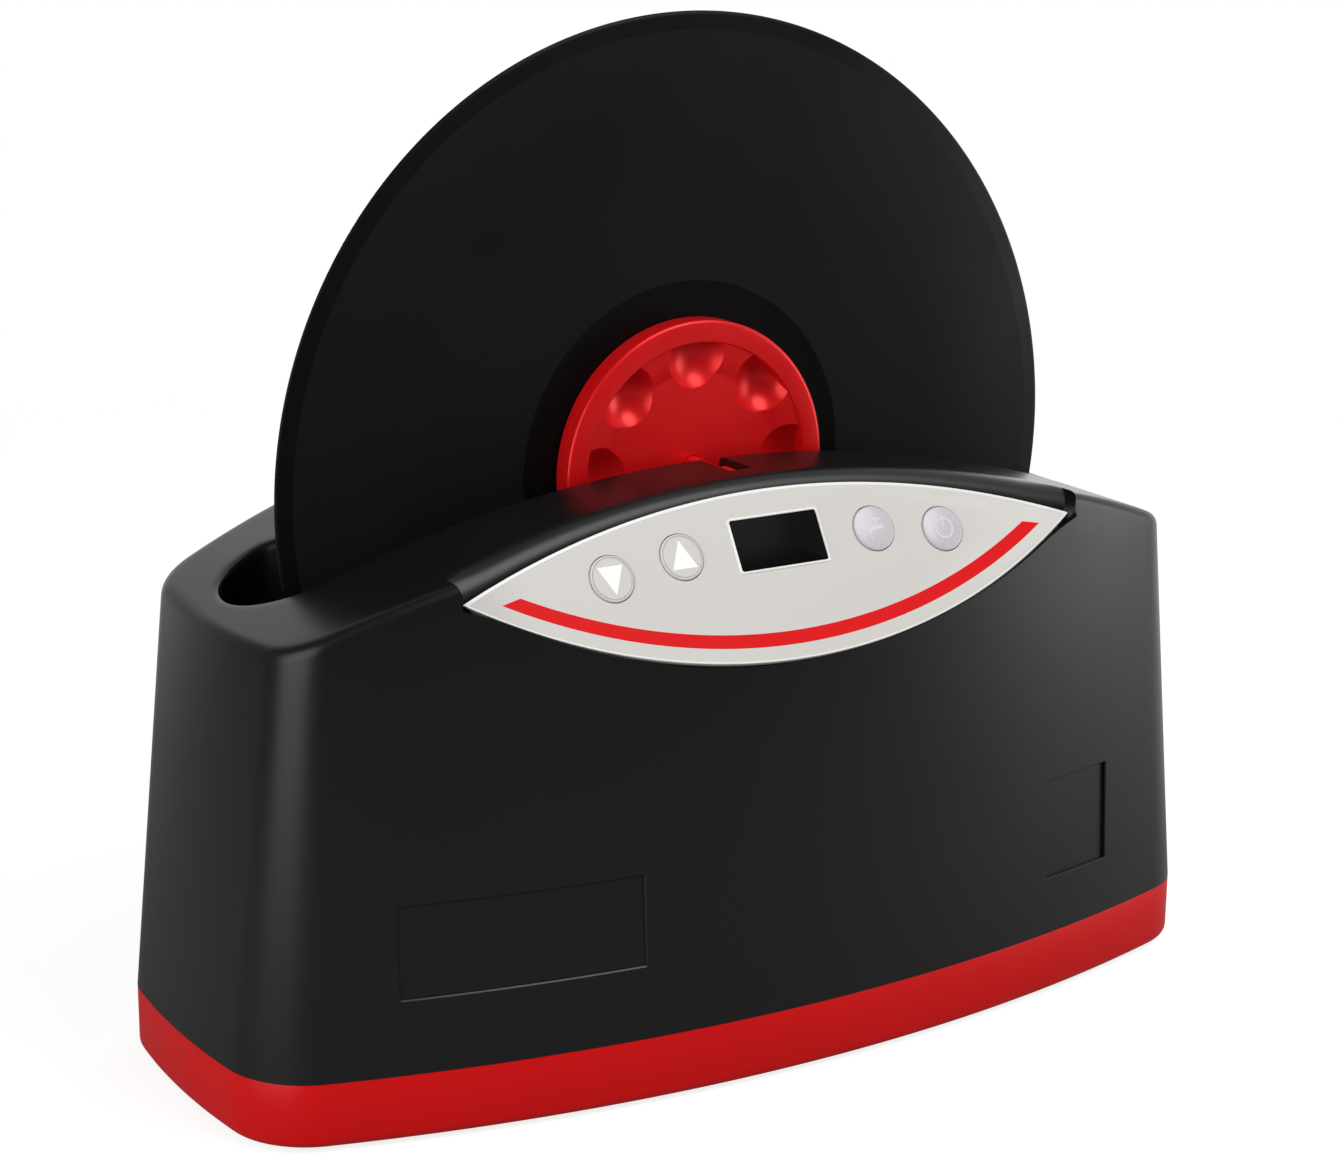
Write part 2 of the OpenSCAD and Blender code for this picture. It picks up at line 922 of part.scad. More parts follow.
module gearbox_screws() {
    color("#b9bbc0")
        for (s = [-1, 1])
            translate([s * 7.5, frame_y1 + 2, gear_z - 7.5])
                rotate([90, 0, 0])
                    screw(0.85, 1.9, 1.2, 4);
}

module motor_shaft() {
    color("#c5c7ca")
        rod_y(0, gear_z, pinion_y + 0.3, frame_y1 + 5, shaft_r);
}

// Points of one gear tooth centred on angle a
function tooth(a) = [
    for (p = [[-0.27, -1.25], [-0.235, -0.5], [-0.16, 0.35], [-0.1, 0.95],
              [0.1, 0.95], [0.16, 0.35], [0.235, -0.5], [0.27, -1.25]])
        let (r = gear_m * (teeth / 2 + p[1]), t = a + p[0] * 360 / teeth)
            [r * cos(t), r * sin(t)]
];

// Spur gear along +Y with a tooth at the given angle
module spur(x, z, first, bore) {
    translate([x, pinion_y + pinion_w, z])
        rotate([90, 0, 0])
            difference() {
                linear_extrude(height = pinion_w)
                    polygon([for (k = [0:teeth - 1]) each tooth(first + k * 360 / teeth)]);
                translate([0, 0, -1])
                    cylinder(r = bore, h = pinion_w + 2);
            }
}

module drive_gear() {
    color("#ece9e0")
        spur(0, gear_z, 90 + 180 / teeth, shaft_r + fit);
}

module drive_pinion() {
    color("#ece9e0")
        spur(0, axle_z, -90, journal_r + fit);
}

// Places children at the pump's screws
module at_pump_screws() {
    for (s = [-1, 1])
        translate([s * (pump_r + 5), pump_y + pump_w / 2, 0])
            children();
}

module drain_pump() {
    color("#2c2d30")
        difference() {
            union() {
                rod_y(0, pump_z, pump_y, pump_y + pump_w, pump_r);
                rod_y(0, pump_z, pump_y - 9, pump_y, port_r + hose_wall - fit);
                translate([0, pump_y + pump_w / 2, outlet_z])
                    rotate([0, 90, 0])
                        cylinder(r = port_r + hose_wall - fit, h = pump_r + 9);
                translate([-pump_r - 9, pump_y + pump_w / 2 - 4, floor_z + 6])
                    cube([2 * pump_r + 18, 8, 3]);
            }
            rod_y(0, pump_z, pump_y + 2, pump_y + pump_w + 1, pump_r - 2.5);
            rod_y(0, pump_z, pump_y - 10, pump_y + 3, port_r - 0.4);
            translate([0, pump_y + pump_w / 2, outlet_z])
                rotate([0, 90, 0])
                    cylinder(r = port_r - 0.4, h = pump_r + 10);
            at_pump_screws()
                translate([0, 0, floor_z + 5])
                    cylinder(r = 1.5, h = 5);
        }
}

module pump_motor() {
    y0 = pump_y + pump_w;
    color("#8b8e93")
        difference() {
            union() {
                rod_y(0, pump_z, y0, y0 + 2, pump_r);
                rod_y(0, pump_z, y0, y0 + 28, 13);
            }
            rod_y(0, pump_z, y0 - 1, y0 + 14, 1.5 + fit);
        }
}

module pump_impeller() {
    blades = 6;
    y0 = pump_y + pump_w;
    color("#e6e3da") {
        rod_y(0, pump_z, y0 - 8.5, y0 + 12, 1.5);
        rod_y(0, pump_z, y0 - 2.2, y0 - 0.7, pump_r - 3.4);
        rod_y(0, pump_z, y0 - 7, y0 - 1, 3.4);
        for (k = [0:blades - 1])
            translate([0, y0 - 2, pump_z])
                rotate([90, k * 360 / blades, 0])
                    translate([2.5, -0.6, 0])
                        cube([pump_r - 7, 1.2, 4.6]);
    }
}

module pump_screws() {
    color("#b9bbc0")
        at_pump_screws()
            translate([0, 0, floor_z + 9])
                mirror([0, 0, 1])
                    screw(1.2, 2.8, 1.6, 7);
}

module intake_hose() {
    color("#5a5c60")
        rod_y(0, pump_z, 10, pump_y - 2, port_r + 2 * hose_wall, port_r + hose_wall);
}

module outlet_hose() {
    hose_r = port_r + 2 * hose_wall;
    bore_r = port_r + hose_wall;
    y0 = pump_y + pump_w / 2;
    x0 = pump_r + 2;
    x1 = outlet_x - hose_bend;
    y1 = rear_at(outlet_x, outlet_z) - spigot_body - gap;
    color("#5a5c60")
        difference() {
            union() {
                translate([x0, y0, outlet_z])
                    rotate([0, 90, 0])
                        cylinder(r = hose_r, h = x1 - x0);
                translate([x1, y0 + hose_bend, outlet_z])
                    rotate([0, 0, -90])
                        rotate_extrude(angle = 90)
                            translate([hose_bend, 0])
                                circle(r = hose_r);
                rod_y(outlet_x, outlet_z, y0 + hose_bend, y1, hose_r);
            }
            translate([x0 - 1, y0, outlet_z])
                rotate([0, 90, 0])
                    cylinder(r = bore_r, h = x1 - x0 + 1);
            translate([x1, y0 + hose_bend, outlet_z])
                rotate([0, 0, -90])
                    rotate_extrude(angle = 90)
                        translate([hose_bend, 0])
                            circle(r = bore_r);
            rod_y(outlet_x, outlet_z, y0 + hose_bend, y1 + 1, bore_r);
        }
}

module drain_spigot() {
    y1 = rear_at(outlet_x, outlet_z);
    y0 = y1 - spigot_body;
    lip_y1 = y1 + 2.4;
    color("#26272a")
        difference() {
            union() {
                rod_y(outlet_x, outlet_z, y0 - barb_l, y0, port_r + hose_wall - fit);
                rod_y(outlet_x, outlet_z, y0, y1 + 0.6, spigot_r);
                rod_y(outlet_x, outlet_z, y1 + 0.6, lip_y1, spigot_r + 3);
                rod_y(outlet_x, outlet_z, lip_y1, lip_y1 + barb_l, spigot_r - 0.5);
            }
            rod_y(outlet_x, outlet_z, y0 - barb_l - 1, lip_y1 + barb_l + 1, port_r - 0.4);
        }
}

module spigot_nut() {
    y1 = rear_at(outlet_x, outlet_z) - wall;
    color("#3a3b3e")
        translate([outlet_x, y1 - 4.6, outlet_z])
            rotate([-90, 0, 0])
                difference() {
                    cylinder(r = spigot_r + 3.5, h = 3.6, $fn = 6);
                    translate([0, 0, -1])
                        cylinder(r = spigot_r + fit, h = 6);
                }
}

module power_inlet() {
    y1 = rear_at(inlet_x, inlet_z);
    color("#1b1b1d")
        difference() {
            union() {
                rod_y(inlet_x, inlet_z, y1 - 14, y1 + 0.6, inlet_r);
                rod_y(inlet_x, inlet_z, y1 + 0.6, y1 + 2.2, 7.5);
            }
            rod_y(inlet_x, inlet_z, y1 - 9, y1 + 3, 2.85);
        }
    color("#c5c7ca")
        rod_y(inlet_x, inlet_z, y1 - 10, y1 + 0.5, 1);
}

module inlet_nut() {
    y1 = rear_at(inlet_x, inlet_z) - wall;
    color("#3a3b3e")
        translate([inlet_x, y1 - 3.6, inlet_z])
            rotate([-90, 0, 0])
                difference() {
                    cylinder(r = 9, h = 2.6, $fn = 6);
                    translate([0, 0, -1])
                        cylinder(r = inlet_r + fit, h = 6);
                }
}

module front_bush() {
    y0 = -axle_front - 1;
    color("#d3161c")
        difference() {
            rod_y(0, axle_z, y0, y0 + bush_l, bush_r);
            rod_y(0, axle_z, -axle_front - 0.2, 0, journal_r + fit);
        }
}

module rear_bush() {
    color("#d3161c")
        rod_y(0, axle_z, rear_bush_y, rear_bush_y + bush_l - 2, bush_r, journal_r + fit);
}

module axle() {
    color("#d3161c") {
        rod_y(0, axle_z, -axle_front, axle_rear, journal_r);
        rod_y(0, axle_z, -clamp_t - 4, clamp_t + 3, spindle_r);
    }
}

module record() {
    bead = 0.3;
    color("#151516")
        along_y(0, 0, axle_z)
            rotate_extrude($fn = 180)
                polygon([
                    [record_hole_r, -record_t / 2], [record_hole_r, record_t / 2],
                    [record_r - 8, record_t / 2], [record_r - 6, record_t / 2 - bead],
                    [record_r - 1, record_t / 2 - bead], [record_r, 0],
                    [record_r - 1, bead - record_t / 2], [record_r - 6, bead - record_t / 2],
                    [record_r - 8, -record_t / 2]
                ]);
}

// Label clamp with its pressing face at z = 0, its dished front upwards and a bore
module clamp(bore) {
    dish_r = clamp_r - 8.4;
    dish_floor = clamp_t - 3.1;
    dimple_r = 11.2;
    difference() {
        rotate_extrude($fn = 128)
            polygon([
                [bore, 0], [clamp_r - 7, 0], [clamp_r - 7, 1], [clamp_r - 4, 1], [clamp_r - 4, 0],
                [clamp_r, 0], [clamp_r, clamp_t - 1.8], [clamp_r - 0.6, clamp_t - 0.6],
                [clamp_r - 1.8, clamp_t], [dish_r + 0.4, clamp_t], [dish_r, clamp_t - 0.5],
                [dish_r - 8.1, dish_floor + 0.5], [dish_r - 10.1, dish_floor], [bore, dish_floor]
            ]);
        for (k = [0:dimples - 1])
            intersection() {
                rotate([0, 0, k * 360 / dimples])
                    translate([dish_r - 5.2, 0, dish_floor + 7.2])
                        sphere(r = dimple_r);
                cylinder(r = dish_r, h = 2 * clamp_t);
            }
    }
}

module front_clamp() {
    color("#d3161c")
        translate([0, -record_t / 2 - seal_face, axle_z])
            rotate([90, 0, 0])
                clamp(spindle_r + thread_gap);
}

module rear_clamp() {
    color("#d3161c")
        along_y(0, record_t / 2 + seal_face, axle_z)
            clamp(spindle_r + fit);
}

// Soft ring in a clamp's groove
module seal_ring() {
    difference() {
        cylinder(r = clamp_r - 4.1, h = 1 + seal_face);
        translate([0, 0, -1])
            cylinder(r = clamp_r - 6.9, h = 4);
    }
}

module front_seal() {
    color("#1b1b1c")
        translate([0, -record_t / 2, axle_z])
            rotate([90, 0, 0])
                seal_ring();
}

module rear_seal() {
    color("#1b1b1c")
        along_y(0, record_t / 2, axle_z)
            seal_ring();
}

module down_button() {
    push_button(0);
}

module up_button() {
    push_button(1);
}

module tap_button() {
    push_button(2);
}

module power_button() {
    push_button(3);
}

housing();
base_tray();
rubber_feet();
housing_screws();
tank();
tank_seal();
tank_screws();
sump_strainer();
drain_fitting();
level_probes();
transducer_horns();
transducer_rings();
transducer_masses();
transducer_bolts();
fascia();
stripe_inlay();
display_window();
display_module();
control_board();
tact_switches();
board_screws();
generator_board();
generator_heatsink();
generator_transformer();
generator_capacitors();
generator_screws();
front_saddle();
drive_frame();
saddle_screws();
gearbox();
motor_can();
gearbox_screws();
motor_shaft();
drive_gear();
drain_pump();
pump_motor();
pump_impeller();
pump_screws();
intake_hose();
outlet_hose();
drain_spigot();
spigot_nut();
power_inlet();
inlet_nut();
front_bush();
rear_bush();
axle();
rear_clamp();
rear_seal();
record();
drive_pinion();
front_seal();
front_clamp();
up_button();
down_button();
tap_button();
power_button();
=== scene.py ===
import json
import math

import bpy
import numpy as np
from mathutils import Matrix, Vector


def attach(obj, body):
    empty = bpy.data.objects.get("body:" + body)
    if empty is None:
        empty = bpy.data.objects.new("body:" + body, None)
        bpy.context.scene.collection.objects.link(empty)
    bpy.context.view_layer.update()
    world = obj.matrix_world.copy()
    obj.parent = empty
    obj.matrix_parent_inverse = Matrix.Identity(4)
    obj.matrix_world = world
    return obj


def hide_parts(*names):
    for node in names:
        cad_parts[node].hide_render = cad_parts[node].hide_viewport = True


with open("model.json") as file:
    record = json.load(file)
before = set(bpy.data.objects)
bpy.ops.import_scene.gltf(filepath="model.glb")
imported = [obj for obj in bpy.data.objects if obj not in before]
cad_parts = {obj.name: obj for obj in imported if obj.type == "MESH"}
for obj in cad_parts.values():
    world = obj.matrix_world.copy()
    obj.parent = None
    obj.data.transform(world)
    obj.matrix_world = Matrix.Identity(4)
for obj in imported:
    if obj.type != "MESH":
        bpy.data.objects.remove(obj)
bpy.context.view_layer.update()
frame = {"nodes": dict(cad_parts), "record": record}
mm = 0.001

# Sizes that several pieces share, in millimetres, as in the CAD frame
body = {
    "halfLength": 189, "halfDepth": 85.5, "sideBow": 30, "endBow": 5,
    "cornerRadius": 30, "crownCornerRadius": 16, "endLean": 18, "sideLean": 10,
    "trayZ": 1.5, "bandZ": 23.5, "crownZ": 194, "crownRadius": 440, "wall": 2.8,
    "slotHalfLength": 164, "slotHalfWidth": 16, "slotEndRadius": 24,
    "slotEndRun": 35, "skirtZ": 146, "skirtWall": 2.5,
    "axleZ": 189, "sideColumns": 64, "cornerColumns": 14, "endColumns": 12,
}
panel = {
    "tilt": 31, "topY": -50, "topZ": 190.4, "height": 57.5, "halfLength": 117,
    "lipBow": 12, "thickness": 2.5, "gap": 0.8, "tipRound": 0.5,
}
chordLength = body["halfLength"] - body["endBow"]
chordDepth = body["halfDepth"] - body["sideBow"]
sideRadius = (chordLength ** 2 + body["sideBow"] ** 2) / (2 * body["sideBow"])
endRadius = (chordDepth ** 2 + body["endBow"] ** 2) / (2 * body["endBow"])
wallRise = body["crownZ"] - body["bandZ"]
tilt = math.radians(panel["tilt"])
lipRadius = (panel["halfLength"] ** 2 + panel["lipBow"] ** 2) / (2 * panel["lipBow"])
belly = panel["height"] - panel["lipBow"] / math.sin(tilt)
bellyRadius = (panel["halfLength"] ** 2 + belly ** 2) / (2 * belly)
buttonPlaces = {"down": (-64, -22.2), "up": (-37.2, -18.6), "tap": (37.2, -18.6),
                "power": (64, -22.2)}
display = {"width": 33.6, "height": 17.4, "v": -17.9, "frame": 0.9}


def grid(xs, ys):
    return [(x, y) for x in xs for y in ys]


# Places of feet and screws as x and y, and along and up the fascia for the board
fixings = {
    "feet": grid((-130, 130), (-46, 46)), "corners": grid((-181, 181), (-28, 28)),
    "tank": grid((-102, -45, 45, 102), (-21.5, 21.5)),
    "saddles": [(-14, -30), (14, -30), (-17, 30), (17, 30)],
    "board": [(-68, -12), (-20.5, -30), (20.5, -30), (68, -12)],
    "generator": grid((-144, -50), (20, 53)), "pump": grid((-22, 22), (37.5,)),
}


def atHeight(key, z):
    return [(x, y, z) for x, y in fixings[key]]


def newObject(name, data):
    obj = bpy.data.objects.new(name, data)
    bpy.context.collection.objects.link(obj)
    return obj


# Camera

camera = {
    "azimuth": -31.748, "elevation": 15.517, "roll": 0.503, "distance": 1045,
    "targetX": -4.74, "targetZ": 145.68, "focalPixels": 3065.1, "imageWidth": 1339,
    "sensorWidth": 36, "clipStart": 0.05, "clipEnd": 20,
}


def makeCamera():
    az, el, roll = (math.radians(camera[k]) for k in ("azimuth", "elevation", "roll"))
    back = Vector((math.sin(az) * math.cos(el), -math.cos(az) * math.cos(el), math.sin(el)))
    right = (-back).cross(Vector((0, 0, 1))).normalized()
    up = right.cross(-back)
    across = right * math.cos(roll) + up * math.sin(roll)
    upwards = up * math.cos(roll) - right * math.sin(roll)
    data = bpy.data.cameras.new("camera")
    data.sensor_fit, data.sensor_width = "HORIZONTAL", camera["sensorWidth"]
    data.lens = camera["focalPixels"] / camera["imageWidth"] * data.sensor_width
    data.clip_start, data.clip_end = camera["clipStart"], camera["clipEnd"]
    obj = newObject("camera", data)
    target = Vector((camera["targetX"], 0, camera["targetZ"])) * mm
    turn = Matrix((across, upwards, back)).transposed().to_4x4()
    obj.matrix_world = Matrix.Translation(target + back * camera["distance"] * mm) @ turn
    bpy.context.scene.camera = obj


makeCamera()
print("camera placed")


# Node helpers for shader and geometry trees

# Adds a node; its inputs take values, sockets or lists of sockets, and its outputs come back
def addNode(tree, kind, inputs=None, **settings):
    made = tree.nodes.new(kind)
    for key, value in settings.items():
        setattr(made, key, value)
    for key, value in (inputs or {}).items():
        for one in value if isinstance(value, list) else [value]:
            if isinstance(one, bpy.types.NodeSocket):
                tree.links.new(one, made.inputs[key])
            else:
                made.inputs[key].default_value = one
    return made.outputs


def reckon(tree, kind, a, b):
    return addNode(tree, "ShaderNodeMath", {0: a, 1: b}, operation=kind)[0]


def times(tree, a, b):
    return reckon(tree, "MULTIPLY", a, b)


def lengthOf(tree, vector):
    return addNode(tree, "ShaderNodeVectorMath", {0: vector}, operation="LENGTH")["Value"]


# Finishes

noiseMiddle = (0.3, 0.7)
grooveNoise = {"Scale": 2600, "Detail": 2}


# Principled finish whose roughness and shade vary over Object coordinates
def makeFinish(name, colour, rough, metal=0.0, specular=0.5, coat=0.0, spread=0.06,
               patch=30, grain=900, bump=0.0, shade=0.06, ringed=None):
    material = bpy.data.materials.new(name)
    material.use_nodes = True
    tree = material.node_tree
    shader = tree.nodes["Principled BSDF"].inputs
    shader["Metallic"].default_value = metal
    shader["Specular IOR Level"].default_value = specular
    shader["Coat Weight"].default_value = coat
    place = addNode(tree, "ShaderNodeTexCoord")["Object"]

    def noise(scale, detail):
        return addNode(tree, "ShaderNodeTexNoise",
                       {"Scale": scale, "Detail": detail, "Vector": place})["Fac"]

    def spreadOut(source, low, high):
        return addNode(tree, "ShaderNodeMapRange",
                       {"From Min": noiseMiddle[0], "From Max": noiseMiddle[1],
                        "To Min": low, "To Max": high, "Value": source})["Result"]

    patches = noise(patch, 3)
    tree.links.new(spreadOut(patches, rough - spread, rough + spread), shader["Roughness"])
    dark = tuple(c * (1 - shade) for c in colour) + (1,)
    light = tuple(min(1, c * (1 + shade)) for c in colour) + (1,)
    shaded = addNode(tree, "ShaderNodeMix", {"A": dark, "B": light,
                                             "Factor": spreadOut(patches, 0, 1)}, data_type="RGBA")
    tree.links.new(shaded["Result"], shader["Base Color"])
    if bump:
        height = ringed(tree, place) if ringed else noise(grain, 2)
        bumped = addNode(tree, "ShaderNodeBump",
                         {"Strength": 1, "Distance": bump * mm, "Height": height})
        tree.links.new(bumped["Normal"], shader["Normal"])
    return material


# Height of fine rings round the record's axle
def recordRings(tree, place):
    flat = addNode(tree, "ShaderNodeMapping", {"Location": (0, 0, -body["axleZ"] * mm),
                                               "Scale": (1, 0, 1), "Vector": place})["Vector"]
    return addNode(tree, "ShaderNodeTexNoise", {**grooveNoise, "W": lengthOf(tree, flat)},
                   noise_dimensions="1D")["Fac"]


finishes = {
    "housingBlack": makeFinish("housing black", (0.0052, 0.0052, 0.0053), 0.34, specular=0.38,
                               spread=0.04, patch=9, grain=2200, bump=0.012),
    "trayRed": makeFinish("tray red", (0.62, 0.0035, 0.0045), 0.38, specular=0.2, patch=8,
                          grain=1800, bump=0.006, shade=0.03),
    "clampRed": makeFinish("clamp red", (0.72, 0.006, 0.008), 0.33, metal=0.3, specular=0.35,
                           patch=20, grain=1500, bump=0.004, shade=0.03),
    "grooves": makeFinish("record grooves", (0.0058, 0.0058, 0.0059), 0.48, specular=0.1,
                          patch=14, bump=0.02, ringed=recordRings),
    "deadWax": makeFinish("record dead wax", (0.0024, 0.0024, 0.0025), 0.4, specular=0.08,
                          patch=14),
    "recordRim": makeFinish("record rim", (0.0024, 0.0024, 0.0025), 0.42, specular=0.12, patch=14),
    "panelGrey": makeFinish("panel grey", (0.62, 0.60, 0.565), 0.42, specular=0.3, patch=12,
                            grain=2500, bump=0.004, shade=0.015),
    # Lighter tone for the fascia's raised rim and the display bezel: a painted highlight standing
    # in for their lit edges
    "panelRimHighlight": makeFinish("panel rim painted highlight", (0.82, 0.81, 0.79), 0.3, shade=0.01),
    "stripeRed": makeFinish("stripe red", (0.72, 0.006, 0.008), 0.45, specular=0.08, shade=0.02),
    "displayBlack": makeFinish("display black", (0.0035, 0.0035, 0.0036), 0.3, specular=0.03),
    "lilacCap": makeFinish("lilac cap", (0.55, 0.525, 0.56), 0.3, coat=0.2, shade=0.02),
    "faintSymbol": makeFinish("faint cap symbol", (0.66, 0.64, 0.67), 0.3, coat=0.2, shade=0.01),
    "symbolWhite": makeFinish("symbol white", (0.93, 0.93, 0.94), 0.35, shade=0.01),
    "softBlack": makeFinish("soft black rubber", (0.012, 0.012, 0.012), 0.75, specular=0.25,
                            grain=1300, bump=0.02),
    "stainless": makeFinish("pressed stainless", (0.56, 0.57, 0.58), 0.28, metal=1, patch=60,
                            grain=700, bump=0.006),
    "zincSteel": makeFinish("zinc plated steel", (0.60, 0.60, 0.58), 0.34, metal=1, patch=200),
    "turnedAluminium": makeFinish("turned aluminium", (0.72, 0.73, 0.74), 0.32, metal=1, patch=90),
    "darkSteel": makeFinish("darkened steel", (0.20, 0.20, 0.21), 0.42, metal=1, patch=80),
    "ceramic": makeFinish("piezo ceramic", (0.62, 0.50, 0.29), 0.5, patch=120),
    "nylonGrey": makeFinish("dark grey nylon", (0.035, 0.036, 0.039), 0.55, grain=1200, bump=0.01),
    "boardGreen": makeFinish("green board", (0.012, 0.11, 0.04), 0.35, patch=300, shade=0.2),
    "boardBlue": makeFinish("blue board", (0.010, 0.065, 0.16), 0.35, patch=300, shade=0.2),
    "partBlack": makeFinish("moulded component", (0.018, 0.018, 0.02), 0.4, patch=200),
    "winding": makeFinish("copper winding", (0.46, 0.17, 0.05), 0.35, metal=0.6, patch=500,
                          shade=0.3),
    "gearboxMetal": makeFinish("cast gearbox", (0.52, 0.47, 0.34), 0.4, metal=1, patch=150),
    "acetal": makeFinish("natural acetal", (0.76, 0.73, 0.66), 0.42, patch=100),
    "hoseGrey": makeFinish("silicone hose", (0.24, 0.25, 0.26), 0.45, patch=80),
}
nodesOfFinish = {
    "housingBlack": "housing",
    "trayRed": "base_tray",
    "softBlack": "rubber_feet tank_seal rear_seal front_seal",
    "zincSteel": "housing_screws tank_screws board_screws generator_screws saddle_screws "
                 "gearbox_screws pump_screws",
    "stainless": "tank sump_strainer level_probes motor_shaft",
    "nylonGrey": "drain_fitting front_saddle drive_frame drain_pump drain_spigot spigot_nut "
                 "inlet_nut",
    "turnedAluminium": "transducer_horns generator_heatsink",
    "ceramic": "transducer_rings",
    "darkSteel": "transducer_masses transducer_bolts motor_can pump_motor",
    "panelGrey": "fascia up_button down_button",
    "stripeRed": "stripe_inlay",
    "displayBlack": "display_window",
    "boardGreen": "display_module control_board",
    "partBlack": "tact_switches generator_capacitors power_inlet",
    "boardBlue": "generator_board",
    "winding": "generator_transformer",
    "gearboxMetal": "gearbox",
    "acetal": "drive_gear pump_impeller drive_pinion",
    "hoseGrey": "intake_hose outlet_hose",
    "clampRed": "front_bush rear_bush axle rear_clamp front_clamp",
    "grooves": "record",
    "lilacCap": "tap_button power_button",
}
for finish, nodes in nodesOfFinish.items():
    for node in nodes.split():
        materials = frame["nodes"][node].data.materials
        if materials:
            materials[0] = finishes[finish]
        else:
            materials.append(finishes[finish])
print("finishes ready")


# Mesh helpers: a shape is (points in millimetres, faces)

def joined(*shapes):
    points, faces, start = [], [], 0
    for somePoints, someFaces in shapes:
        points.append(np.asarray(somePoints, float).reshape(-1, 3))
        faces += [tuple(start + i for i in face) for face in someFaces]
        start += len(points[-1])
    return np.vstack(points), faces


def signedVolume(points, faces):
    total = 0.0
    for face in faces:
        first = points[face[0]]
        for i in range(1, len(face) - 1):
            total += np.dot(first, np.cross(points[face[i]], points[face[i + 1]]))
    return total


# The same closed shape with its faces turned outwards
def outwards(points, faces):
    points = np.asarray(points, float)
    if signedVolume(points, faces) < 0:
        faces = [tuple(reversed(face)) for face in faces]
    return points, faces


def placed(shape, place):
    points, faces = shape
    return outwards(place(np.asarray(points)), faces)


# Closed shape through rings of equal length; closed joins the last ring to the first
def loft(rows, closed=False):
    count, size = len(rows), len(rows[0])
    points = np.vstack(rows)
    faces = []
    for j in range(count if closed else count - 1):
        a, b = j * size, ((j + 1) % count) * size
        faces += [(a + i, a + (i + 1) % size, b + (i + 1) % size, b + i) for i in range(size)]
    if not closed:
        faces.append(tuple(range(size))[::-1])
        faces.append(tuple((count - 1) * size + i for i in range(size)))
    return outwards(points, faces)


def boxShape(low, high):
    x, y, z = zip(low, high)
    ring = np.array([(x[0], y[0], 0), (x[1], y[0], 0), (x[1], y[1], 0), (x[0], y[1], 0)], float)
    return loft([ring + (0, 0, z[0]), ring + (0, 0, z[1])])


# Rings round local z from (radius, height) pairs
def turnedRows(profile, segments):
    turn = np.linspace(0, 2 * math.pi, segments, endpoint=False)
    return [np.column_stack([r * np.cos(turn), r * np.sin(turn), np.full(segments, h)])
            for r, h in profile]


# Turned shape that caps close; place maps its local points
def rings(profile, place, segments=64):
    return placed(loft(turnedRows(profile, segments)), place)


# Turned shape with a hole: the profile's last ring joins its first
def tube(profile, place, segments=64):
    return placed(loft(turnedRows(profile, segments), closed=True), place)


def sleeve(bore, radius, low, high):
    return [(bore, low), (radius, low), (radius, high), (bore, high)]


def asIs(points):
    return points


def upright(x, y):
    return lambda p: p + (x, y, 0)


# Turns local +Z to +Y, or to -Y where sign is -1
def alongY(x, z, sign=1):
    return lambda p: np.column_stack([p[:, 0] + x, sign * p[:, 2], p[:, 1] + z])


# Puts local points on the fascia: x along it, y up its slope, z out of it
def onPanel(u, v):
    return lambda p: panelPoints(p[:, 0] + u, p[:, 1] + v, p[:, 2])


def panelPoints(u, v, n):
    u, v, n = np.broadcast_arrays(np.asarray(u, float), v, n)
    return np.column_stack([u, panel["topY"] + v * math.sin(tilt) - n * math.cos(tilt),
                            panel["topZ"] + v * math.cos(tilt) + n * math.sin(tilt)])


def newMesh(name, points, faces=()):
    mesh = bpy.data.meshes.new(name)
    mesh.from_pydata((np.asarray(points, float) * mm).tolist(), [], list(faces))
    return mesh


def smoothen(obj, angle):
    obj.data.polygons.foreach_set("use_smooth", [True] * len(obj.data.polygons))
    obj.data.set_sharp_from_angle(angle=math.radians(angle))
    obj.data.update()


# Object at the origin from a shape; faceMaterial gives each face's slot
def makePiece(name, shape, materials, smooth=32, faceMaterial=None):
    obj = newObject(name, newMesh(name, *shape))
    for material in materials:
        obj.data.materials.append(finishes[material])
    if faceMaterial is not None:
        obj.data.polygons.foreach_set("material_index", faceMaterial)
    smoothen(obj, smooth)
    return obj


# Turns the object's modifiers into its mesh
def settle(obj):
    bpy.context.view_layer.update()
    graph = bpy.context.evaluated_depsgraph_get()
    obj.data = bpy.data.meshes.new_from_object(obj.evaluated_get(graph))
    obj.modifiers.clear()


# Cuts or adds a shape, exactly
def carve(obj, cutter, kind="DIFFERENCE"):
    tool = makePiece("cutter", cutter, [])
    modifier = obj.modifiers.new("carve", "BOOLEAN")
    modifier.operation, modifier.solver, modifier.object = kind, "EXACT", tool
    settle(obj)
    bpy.data.objects.remove(tool)


# Puts one object's mesh into another's without a boolean
def joinTo(obj, extra):
    bpy.ops.object.select_all(action="DESELECT")
    extra.select_set(True)
    obj.select_set(True)
    bpy.context.view_layer.objects.active = obj
    bpy.ops.object.join()


def addShape(obj, shape):
    extra = makePiece("extra", shape, [])
    for material in obj.data.materials:
        extra.data.materials.append(material)
    joinTo(obj, extra)


def settlePiece(obj, bodyName, slot, *nodes):
    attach(obj, bodyName)
    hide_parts(*nodes)


# Material slot that the record gives a node
def slotOf(node):
    return next(row["material_slot"] for row in frame["record"]["subparts"] if row["node"] == node)


# Geometry Nodes: trees with named inputs, whose results are turned into plain meshes

socketKinds = {int: "NodeSocketInt", float: "NodeSocketFloat", tuple: "NodeSocketVector"}


# Lengths are given in millimetres; counts and vectors are plain
def inMetres(value):
    return value * mm if isinstance(value, float) else value


